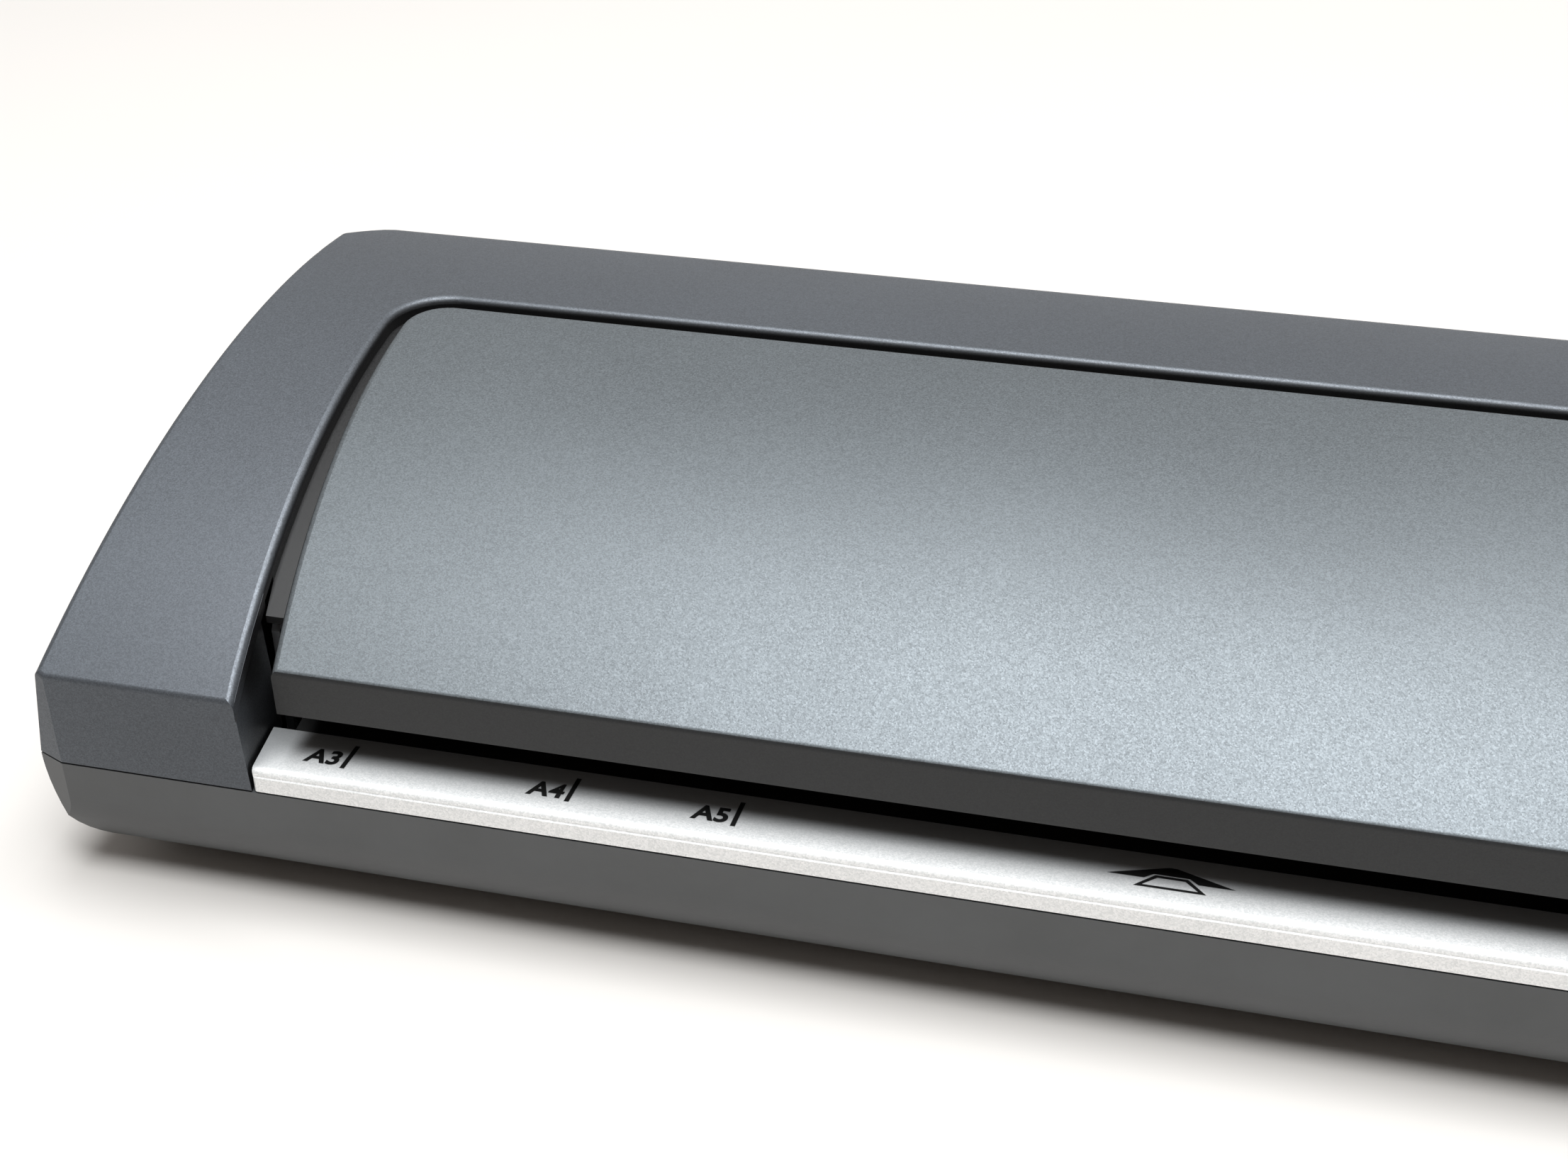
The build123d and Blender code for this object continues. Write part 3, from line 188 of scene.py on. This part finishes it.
def painted_groove_shade(tree):
    """0 on faces that lie along the arch but well under it, as the groove's floor does, else 1; the
    groove's floor turns near black there as painted shade.
    """
    link = tree.links.new
    coordinates = tree.nodes.new("ShaderNodeTexCoord")
    across = node(tree, "ShaderNodeVectorMath", operation="MULTIPLY_ADD")
    link(coordinates.outputs["Object"], across.inputs[0])
    across.inputs[1].default_value = (0, 1, 1)
    across.inputs[2].default_value = (0, -ARCH_Y, -ARCH_Z)
    radius = node(tree, "ShaderNodeVectorMath", operation="LENGTH")
    link(across.outputs["Vector"], radius.inputs[0])
    outward = node(tree, "ShaderNodeVectorMath", operation="NORMALIZE")
    link(across.outputs["Vector"], outward.inputs[0])
    facing = node(tree, "ShaderNodeVectorMath", operation="DOT_PRODUCT")
    link(outward.outputs["Vector"], facing.inputs[0])
    link(coordinates.outputs["Normal"], facing.inputs[1])
    deep = compare(tree, "LESS_THAN", radius.outputs["Value"], ARCH_RADIUS - LEDGE_DEPTH)
    along = compare(tree, "GREATER_THAN", facing.outputs["Value"], ALONG_ARCH)
    return spread(tree, product(tree, deep, along), 1.0, 0.0)


def painted_wall_shade(tree):
    """1 on faces that look up, and nearly 0 on the walls round them, which turn near black as painted
    shade.
    """
    coordinates = tree.nodes.new("ShaderNodeTexCoord")
    split = tree.nodes.new("ShaderNodeSeparateXYZ")
    tree.links.new(coordinates.outputs["Normal"], split.inputs["Vector"])
    upward = compare(tree, "GREATER_THAN", split.outputs["Z"], LOOKS_UP)
    return spread(tree, upward, 0.08, 1.0)


# painted shade: the near black that the paint turns to in joints, grooves and off the mask
PAINTED_SHADE_BLACK = (0.006, 0.006, 0.0065)


def metallic_paint(name, colour, flake, sparkle, rough, metallic, painted_shade_colour=PAINTED_SHADE_BLACK, mask=None):
    """Satin paint full of small metal flakes, darkened and stripped of its metal as painted shade down
    in the joints and off the mask.
    """
    material, tree, shader = new_material(name)
    link = tree.links.new
    cells = flakes(tree, flake)
    separate = tree.nodes.new("ShaderNodeSeparateColor")
    link(cells.outputs["Color"], separate.inputs["Color"])
    broad = noise(tree, 60 * MM, 2.0)
    shade = node(tree, "ShaderNodeMath", operation="MULTIPLY_ADD")
    link(separate.outputs["Red"], shade.inputs[0])
    shade.inputs[1].default_value = 0.8
    link(spread(tree, broad, 0.0, 0.2, 0.3, 0.7), shade.inputs[2])
    dark, light = tinted(colour, 1 - sparkle), tinted(colour, 1 + sparkle)
    paint = blend_colours(tree, shade.outputs["Value"], dark, light)
    # painted shade: ambient occlusion darkens the paint and takes out its metal in joints and grooves
    painted_shade_mask = painted_recess_shade(tree)
    if mask:
        painted_shade_mask = product(tree, painted_shade_mask, mask(tree))
    paint_with_painted_shade = blend_colours(tree, painted_shade_mask, painted_shade_colour, colour)
    link(paint, paint_with_painted_shade.node.inputs["B"])
    link(paint_with_painted_shade, shader.inputs["Base Color"])
    link(spread(tree, separate.outputs["Green"], rough - 0.07, rough + 0.07), shader.inputs["Roughness"])
    surface = bump(tree, noise(tree, 1.6 * MM, 2.0), 0.12, 0.05 * MM)
    normal = bump(tree, separate.outputs["Blue"], 0.3 * sparkle, 0.03 * MM, surface)
    link(normal, shader.inputs["Normal"])
    link(spread(tree, painted_shade_mask, 0.0, metallic), shader.inputs["Metallic"])
    shader.inputs["Specular IOR Level"].default_value = 0.45
    return material


def grained_plastic(name, colour, rough, grain=0.45 * MM, depth=0.06 * MM):
    """Moulded plastic with a fine spark-eroded grain and light handling marks."""
    material, tree, shader = new_material(name)
    link = tree.links.new
    wear = noise(tree, 25 * MM, 4.0, 0.6)
    marks = spread(tree, wear, 0, 1, 0.35, 0.65)
    link(
        blend_colours(tree, marks, tinted(colour, 0.9), tinted(colour, 1.12)),
        shader.inputs["Base Color"],
    )
    link(spread(tree, wear, rough - 0.06, rough + 0.06, 0.3, 0.7), shader.inputs["Roughness"])
    link(bump(tree, noise(tree, grain, 2.0, 0.6), 0.35, depth), shader.inputs["Normal"])
    return material


def gloss_plastic(name, colour, rough, clear=0.0):
    """Polished plastic with the faint waviness of a moulding and fine dust."""
    material, tree, shader = new_material(name)
    link = tree.links.new
    dust = noise(tree, 0.8 * MM, 2.0, 0.7)
    link(
        blend_colours(tree, spread(tree, dust, 0, 1, 0.62, 0.8), colour, tinted(colour, 1.5)),
        shader.inputs["Base Color"],
    )
    smears = noise(tree, 12 * MM, 3.0)
    link(spread(tree, smears, rough * 0.8, rough * 1.3, 0.3, 0.7), shader.inputs["Roughness"])
    link(bump(tree, noise(tree, 9 * MM, 1.0), 0.08, 0.2 * MM), shader.inputs["Normal"])
    shader.inputs["Transmission Weight"].default_value = clear
    return material


def brushed_metal(name, colour, rough, stretch):
    """Bare metal with drawn lines along one axis and a few cloudy stains."""
    material, tree, shader = new_material(name)
    link = tree.links.new
    lines = noise(tree, 0.25 * MM, 3.0, 0.6, stretch)
    stains = spread(tree, noise(tree, 18 * MM, 3.0), 0, 1, 0.35, 0.65)
    link(
        blend_colours(tree, stains, tinted(colour, 0.86), tinted(colour, 1.05)),
        shader.inputs["Base Color"],
    )
    link(spread(tree, lines, rough - 0.08, rough + 0.12, 0.3, 0.7), shader.inputs["Roughness"])
    link(bump(tree, lines, 0.2, 0.03 * MM), shader.inputs["Normal"])
    shader.inputs["Metallic"].default_value = 1.0
    return material


def rubber(name, colour, rough):
    """Soft rubber with a ground surface."""
    material, tree, shader = new_material(name)
    link = tree.links.new
    rings = noise(tree, 0.5 * MM, 3.0, 0.6, (1.0, 0.25, 0.25))
    link(
        blend_colours(tree, noise(tree, 30 * MM, 3.0), tinted(colour, 0.85), tinted(colour, 1.15)),
        shader.inputs["Base Color"],
    )
    link(spread(tree, rings, rough - 0.1, rough + 0.1, 0.3, 0.7), shader.inputs["Roughness"])
    link(bump(tree, rings, 0.3, 0.05 * MM), shader.inputs["Normal"])
    shader.inputs["Sheen Weight"].default_value = 0.15
    return material


def printed_board(name, colour):
    """Green laminate with etched tracks under the solder mask."""
    material, tree, shader = new_material(name)
    link = tree.links.new
    tracks = node(tree, "ShaderNodeTexBrick", Scale=1 / (7 * MM), Mortar_Size=0.05, offset=0.37)
    link(place(tree), tracks.inputs["Vector"])
    link(
        blend_colours(tree, tracks.outputs["Fac"], colour, tinted(colour, 1.9)),
        shader.inputs["Base Color"],
    )
    link(bump(tree, tracks.outputs["Fac"], 0.4, 0.05 * MM), shader.inputs["Normal"])
    shader.inputs["Roughness"].default_value = 0.3
    return material


ALONG_X = (0.02, 1.0, 1.0)
FINISHES = {
    # painted shade: the groove's floor under the arch is coloured near black
    "cover_paint": metallic_paint(
        "graphite_paint", (0.087, 0.096, 0.109), 0.22 * MM, 0.24, 0.46, 0.6, mask=painted_groove_shade
    ),
    # painted shade: the panel's front face and side walls are coloured near black; on the side walls it
    # also makes a groove that is too wide read thinner
    "panel_paint": metallic_paint(
        "graphite_paint_panel", (0.109, 0.122, 0.132), 0.24 * MM, 0.26, 0.48, 0.6, mask=painted_wall_shade
    ),
    "base_plastic": grained_plastic("grey_base_plastic", (0.078, 0.082, 0.085), 0.46),
    # painted shade: the last colour is the grey that the silver turns to in joints and recesses
    "tray_silver": metallic_paint(
        "silver_paint", (0.93, 0.95, 0.95), 0.28 * MM, 0.22, 0.38, 0.3, (0.3, 0.31, 0.32)
    ),
    "guide_black": grained_plastic("black_guide_plastic", (0.004, 0.004, 0.0042), 0.5),
    "frame_steel": brushed_metal("zinc_sheet", (0.55, 0.57, 0.60), 0.38, ALONG_X),
    "bar_steel": brushed_metal("ground_bar", (0.62, 0.62, 0.63), 0.24, (1.0, 0.1, 0.1)),
    "silicone": rubber("silicone_rubber", (0.30, 0.055, 0.03), 0.55),
    "gear_plastic": grained_plastic("acetal", (0.78, 0.76, 0.70), 0.35, 0.7 * MM, 0.02 * MM),
    "pinion_steel": brushed_metal("cut_steel", (0.48, 0.48, 0.49), 0.3, (0.2, 1, 1)),
    "bush_plastic": grained_plastic("filled_nylon", (0.16, 0.13, 0.09), 0.5),
    "motor_can": brushed_metal("plated_can", (0.66, 0.67, 0.68), 0.28, (1, 1, 0.1)),
    "spring_steel": brushed_metal("spring_wire", (0.5, 0.5, 0.5), 0.3, (1, 1, 1)),
    "lever_plastic": grained_plastic("black_lever_plastic", (0.012, 0.012, 0.013), 0.42),
    "shoe_aluminium": brushed_metal("extruded_aluminium", (0.72, 0.73, 0.74), 0.36, ALONG_X),
    "heater_film": gloss_plastic("heater_film", (0.42, 0.22, 0.06), 0.3),
    "thermostat_body": gloss_plastic("glazed_body", (0.75, 0.72, 0.65), 0.25),
    "fuse_body": gloss_plastic("fuse_ceramic", (0.70, 0.66, 0.55), 0.3),
    "control_face": gloss_plastic("control_inlay", (0.008, 0.008, 0.009), 0.16),
    "button_plastic": metallic_paint("button_paint", (0.30, 0.31, 0.33), 0.25 * MM, 0.2, 0.36, 0.6),
    "slider_plastic": metallic_paint("slider_paint", (0.30, 0.31, 0.33), 0.25 * MM, 0.2, 0.36, 0.6),
    "red_lens": gloss_plastic("red_lens", (0.45, 0.02, 0.012), 0.1, 0.4),
    "green_lens": gloss_plastic("green_lens", (0.02, 0.32, 0.05), 0.1, 0.4),
    "switch_body": grained_plastic("switch_plastic", (0.02, 0.02, 0.02), 0.4),
    "board": printed_board("solder_mask", (0.01, 0.10, 0.035)),
    "transformer_body": grained_plastic("winding_tape", (0.35, 0.28, 0.05), 0.35, 1.2 * MM),
    "relay_body": gloss_plastic("relay_case", (0.02, 0.06, 0.28), 0.22),
    "lead_sleeve": rubber("black_wire", (0.012, 0.012, 0.012), 0.45),
    "heater_lead_sleeve": rubber("glass_sleeve", (0.62, 0.60, 0.54), 0.7),
    "gland_black": grained_plastic("gland_plastic", (0.012, 0.012, 0.012), 0.45),
    "foot_rubber": rubber("foot_rubber", (0.015, 0.015, 0.015), 0.7),
    "screw_zinc": brushed_metal("zinc_screw", (0.58, 0.58, 0.54), 0.32, (1, 1, 1)),
}
for part in frame["record"]["subparts"]:
    body = frame["nodes"][part["node"]]
    body.data.materials.clear()
    body.data.materials.append(FINISHES[part["material_slot"]])


# ---------------------------------------------------------------- pressure springs
def new_piece(name, mesh):
    """An object of a mesh, text, lamp or camera, linked to the scene."""
    made = bpy.data.objects.new(name, mesh)
    scene.collection.objects.link(made)
    return made


def filled_mesh(name, shape, material):
    """A mesh of a bmesh, which is used up, with its faces turned outward."""
    mesh = bpy.data.meshes.new(name)
    bmesh.ops.recalc_face_normals(shape, faces=shape.faces)
    shape.to_mesh(mesh)
    shape.free()
    mesh.materials.append(material)
    return mesh


# the CAD's springs keep their length, so these coils take their place
WIRE = 0.45 * MM
COIL = 3.0 * MM
TURNS = 3.5
CLOSED_TURNS = 0.8
END_SHARE = 0.65  # share of the height that is wound evenly, the rest easing in at the ends
STEPS_A_TURN = 36
WIRE_SIDES = 10
UP = Vector((0, 0, 1))
springs_low, springs_high = (Vector(corner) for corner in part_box("pressure_springs"))
reach = COIL + WIRE
spring_posts = [
    (x, y)
    for x in (springs_low.x + reach, springs_high.x - reach)
    for y in (springs_low.y + reach, springs_high.y - reach)
]


def coil_height(turn):
    """Height share of a coil with its end turns closed, from 0 at its foot to 1 at its top."""
    climb = (turn - CLOSED_TURNS / 2) / (TURNS - CLOSED_TURNS)
    climb = min(1.0, max(0.0, climb))
    return climb * climb * (3 - 2 * climb) * (1 - END_SHARE) + climb * END_SHARE


def wind(coil, x, y, low, high):
    """A coil of round wire about an upright line, closed at both ends."""
    count = int(TURNS * STEPS_A_TURN)
    rows = []
    for step in range(count + 1):
        turn = TURNS * step / count
        bearing = 2 * math.pi * turn
        out = Vector((math.cos(bearing), math.sin(bearing), 0))
        middle = Vector((x, y, low + WIRE + (high - low - 2 * WIRE) * coil_height(turn))) + out * COIL
        row = []
        for side in range(WIRE_SIDES):
            angle = 2 * math.pi * side / WIRE_SIDES
            rim = out * math.cos(angle) + UP * math.sin(angle)
            row.append(coil.verts.new(middle + rim * WIRE))
        rows.append(row)
    for first, second in zip(rows, rows[1:]):
        for side in range(WIRE_SIDES):
            after = (side + 1) % WIRE_SIDES
            coil.faces.new((first[side], first[after], second[after], second[side]))
    coil.faces.new(rows[0])
    coil.faces.new(rows[-1])


coils = bmesh.new()
for x, y in spring_posts:
    wind(coils, x, y, springs_low.z, springs_high.z)
for face in coils.faces:
    face.smooth = True
springs = new_piece("springs", filled_mesh("springs", coils, FINISHES["spring_steel"]))
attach(springs, "machine")
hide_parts("pressure_springs")
joints = {joint["name"]: joint for joint in frame["record"]["behaviour"]["joints"]}
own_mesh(springs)

# ---------------------------------------------------------------- printed marks on the tray
INK = grained_plastic("black_ink", (0.006, 0.006, 0.006), 0.45, 0.2 * MM, 0.01 * MM)
tray_low, tray_high = (Vector(corner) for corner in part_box("feed_tray"))
tray = frame["nodes"]["feed_tray"]
MIDDLE = (tray_low.x + tray_high.x) / 2
INK_LIFT = 0.04 * MM
TRAY_PROBE = 50 * MM


def tray_height(x, y):
    """Height of the tray's top under a point."""
    hit, spot, _, _ = tray.ray_cast(Vector((x, y, tray_high.z + TRAY_PROBE)), -UP)
    return spot.z if hit else tray_high.z


def print_on_tray(name, outlines, x, y):
    """Ink laid on the tray's sloping top, its outlines in millimetres from (x, y)."""
    ink = bmesh.new()
    for outline in outlines:
        corners = []
        for across, along in outline:
            px, py = x + across * MM, y + along * MM
            corners.append(ink.verts.new((px, py, tray_height(px, py) + INK_LIFT)))
        ink.faces.new(corners)
    made = new_piece(name, filled_mesh(name, ink, INK))
    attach(made, "machine")


def write_on_tray(name, text, x, y):
    """Bold generic size letters whose right end is at x and whose baseline is at y."""
    data = bpy.data.curves.new(name, "FONT")
    data.body = text
    data.align_x = "RIGHT"
    data.size = LETTER_HEIGHT / CAP_SHARE * MM
    data.offset = LETTER_STROKE * MM
    data.space_character = 1.05
    data.resolution_u = 4
    typed = new_piece(name, data)
    bpy.context.view_layer.update()
    flat = typed.evaluated_get(bpy.context.evaluated_depsgraph_get())
    mesh = bpy.data.meshes.new_from_object(flat)
    bpy.data.objects.remove(typed)
    bpy.data.curves.remove(data)
    for corner in mesh.vertices:
        spot = corner.co
        px, py = x + spot.x * LETTER_WIDEN, y + spot.y
        corner.co = (px, py, tray_height(px, py) + INK_LIFT)
    mesh.materials.clear()
    mesh.materials.append(INK)
    made = new_piece(name, mesh)
    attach(made, "machine")


POUCH_HALF_WIDTHS = {"A3": 151.5, "A4": 108.0, "A5": 77.0}
LETTER_HEIGHT = 4.4
LETTER_BASE = 0.8
LETTER_GAP = 1.2
LETTER_STROKE = 0.2
LETTER_WIDEN = 0.92
CAP_SHARE = 0.73  # capital height as a share of the font's size
TICK_REAR = -2.4
TICK_LENGTH = 7.6
TICK_WIDTH = 0.9
for size, half in POUCH_HALF_WIDTHS.items():
    x = MIDDLE - half * MM
    y = tray_high.y + TICK_REAR * MM
    side = TICK_WIDTH / 2
    tick = [(-side, -TICK_LENGTH), (side, -TICK_LENGTH), (side, 0), (-side, 0)]
    print_on_tray(f"mark_{size}_tick", [tick], x, y)
    write_on_tray(f"mark_{size}", size, x - LETTER_GAP * MM, y + (LETTER_BASE - TICK_LENGTH) * MM)

# a pouch going in, folded edge first: an arrow roof over a sheet in perspective
EAVE, PEAK = 1.4, 3.8
ROOF_HALF = [(-11, 0), (-4.65, 0), (-3.1, EAVE), (0, EAVE), (0, PEAK), (-0.7, PEAK)]
ROOF = [[(side * x, y) for x, y in ROOF_HALF] for side in (-1, 1)]
SHEET_OUTER = [(-6.2, -2.6), (6.2, -2.6), (2.8, 1.1), (-2.8, 1.1)]
SHEET_INNER = [(-4.8, -2.0), (4.8, -2.0), (2.4, 0.45), (-2.4, 0.45)]
SHEET = [
    [SHEET_OUTER[first], SHEET_OUTER[first - 3], SHEET_INNER[first - 3], SHEET_INNER[first]]
    for first in range(4)
]
SYMBOL_Y = tray_low.y + 7.5 * MM
print_on_tray("mark_pouch_arrow", ROOF, MIDDLE, SYMBOL_Y)
print_on_tray("mark_pouch_sheet", SHEET, MIDDLE, SYMBOL_Y)

# ---------------------------------------------------------------- marks on the control face
OUTWARD = -Vector(joints["power_press"]["axis"]).normalized()
ACROSS = Vector((1, 0, 0))
ALONG = OUTWARD.cross(ACROSS)
face_body = frame["nodes"]["control_panel"]
WHITE_INK = grained_plastic("white_ink", (0.72, 0.73, 0.74), 0.5, 0.2 * MM, 0.01 * MM)
FACE_PROBE = 20


def middle_of(name):
    """Middle of a node's box."""
    least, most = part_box(name)
    return (Vector(least) + Vector(most)) / 2


def print_on_controls(name, strips, centre):
    """White ink on the control face, each strip a run of left and right points in millimetres."""
    ink = bmesh.new()
    for left, right in strips:
        rows = []
        for pair in zip(left, right):
            row = []
            for u, v in pair:
                spot = centre + (ACROSS * u + ALONG * v) * MM + OUTWARD * FACE_PROBE * MM
                hit, place_on, _, _ = face_body.ray_cast(spot, -OUTWARD)
                row.append(ink.verts.new(place_on + OUTWARD * INK_LIFT if hit else spot))
            rows.append(row)
        for first, second in zip(rows, rows[1:]):
            ink.faces.new((first[0], first[1], second[1], second[0]))
    made = new_piece(name, filled_mesh(name, ink, WHITE_INK))
    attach(made, "machine")


def arc(radius, start, end):
    """Points on an arc about the origin, angles in degrees."""
    angles = [math.radians(start + (end - start) * step / ARC_STEPS) for step in range(ARC_STEPS + 1)]
    return [(radius * math.cos(angle), radius * math.sin(angle)) for angle in angles]


def ring(inner, outer, start, end, across=0.0, along=0.0):
    """A ring or part of one, as a strip."""
    return [
        [(u + across, v + along) for u, v in arc(radius, start, end)] for radius in (inner, outer)
    ]


ARC_STEPS = 28
STROKE = 0.35
POWER_RADIUS, POWER_ALONG = 1.15, 8.9
STEM_LOW, STEM_HIGH = 8.4, 9.9
LENS_RADIUS = 2.3
HEAT_STOPS = (-5.5, 17.5)
DOT_RADIUS, DOT_PITCH = 0.55, 1.6
power_ring = ring(POWER_RADIUS, POWER_RADIUS + STROKE, 115, 425, 0, POWER_ALONG)
stem = [[(edge, STEM_LOW), (edge, STEM_HIGH)] for edge in (-STROKE / 2, STROKE / 2)]
print_on_controls("mark_power", [power_ring, stem], middle_of("power_button"))
for lens_name in ("power_lens", "ready_lens"):
    lens_ring = ring(LENS_RADIUS, LENS_RADIUS + STROKE, 0, 360)
    print_on_controls(f"mark_{lens_name}", [lens_ring], middle_of(lens_name))
for count, stop in enumerate(HEAT_STOPS, start=1):
    rows = [DOT_PITCH * (row - (count - 1) / 2) for row in range(count)]
    dots = [ring(0.0, DOT_RADIUS, 0, 360, stop, along) for along in rows]
    print_on_controls(f"mark_heat_{count}", dots, middle_of("mode_slider"))

# ---------------------------------------------------------------- floor, light and camera
FLOOR_SIZE = 6
FLOOR_WARM, FLOOR_PALE = (0.54, 0.52, 0.50), (0.58, 0.56, 0.54)
bpy.ops.mesh.primitive_plane_add(size=FLOOR_SIZE, location=(0, 0, cad_low.z))
floor = bpy.context.object
floor.name = "floor"
floor_material, floor_tree, floor_shader = new_material("floor_white")
floor_tree.links.new(
    blend_colours(floor_tree, noise(floor_tree, 0.4), FLOOR_WARM, FLOOR_PALE),
    floor_shader.inputs["Base Color"],
)
floor_shader.inputs["Roughness"].default_value = 0.45
floor.data.materials.append(floor_material)

world = bpy.data.worlds.new("studio")
scene.world = world
world.use_nodes = True
sky = world.node_tree
heading = sky.nodes.new("ShaderNodeSeparateXYZ")
sky.links.new(sky.nodes.new("ShaderNodeTexCoord").outputs["Generated"], heading.inputs["Vector"])
FRONT_SHADE, REAR_SHADE = (0.16, 0.14, 0.125), (0.55, 0.53, 0.51)
around = blend_colours(sky, spread(sky, heading.outputs["Y"], 0, 1, -0.6, 0.8), FRONT_SHADE, REAR_SHADE)
sky.links.new(around, sky.nodes["Background"].inputs["Color"])
sky.nodes["Background"].inputs["Strength"].default_value = 1.0


def soft_light(name, place_at, aim, size, power, colour=(1, 1, 1)):
    """A square lamp aimed at a point."""
    data = bpy.data.lights.new(name, "AREA")
    data.shape = "SQUARE"
    data.size = size
    data.energy = power
    data.color = colour
    lamp = new_piece(name, data)
    lamp.location = place_at
    lamp.rotation_mode = "QUATERNION"
    lamp.rotation_quaternion = (Vector(aim) - Vector(place_at)).to_track_quat("-Z", "Y")


soft_light("overhead_light", (-0.02, -0.1, 1.7), (0, 0, 0), 1.3, 60, (0.97, 0.99, 1.0))
soft_light("rear_light", (0.7, 0.9, 1.7), (0.1, 0, 0), 0.8, 6)

AZIMUTH, ELEVATION, ROLL = (math.radians(angle) for angle in (14.98, 32.99, -1.18))
CAMERA_AT = (0, -0.3828, 0.2923)
camera_data = bpy.data.cameras.new("camera")
camera_data.sensor_width = 36
camera_data.lens = 54.0
camera_data.clip_start = 0.01
camera = new_piece("camera", camera_data)
back = Vector((
    math.sin(AZIMUTH) * math.cos(ELEVATION),
    -math.cos(AZIMUTH) * math.cos(ELEVATION),
    math.sin(ELEVATION),
))
level = Vector((math.cos(AZIMUTH), math.sin(AZIMUTH), 0))
right = Matrix.Rotation(ROLL, 3, back) @ level
turn = Matrix((right, back.cross(right), back)).transposed()
camera.matrix_world = Matrix.Translation(CAMERA_AT) @ turn.to_4x4()
scene.camera = camera
scene.view_settings.view_transform = "Standard"
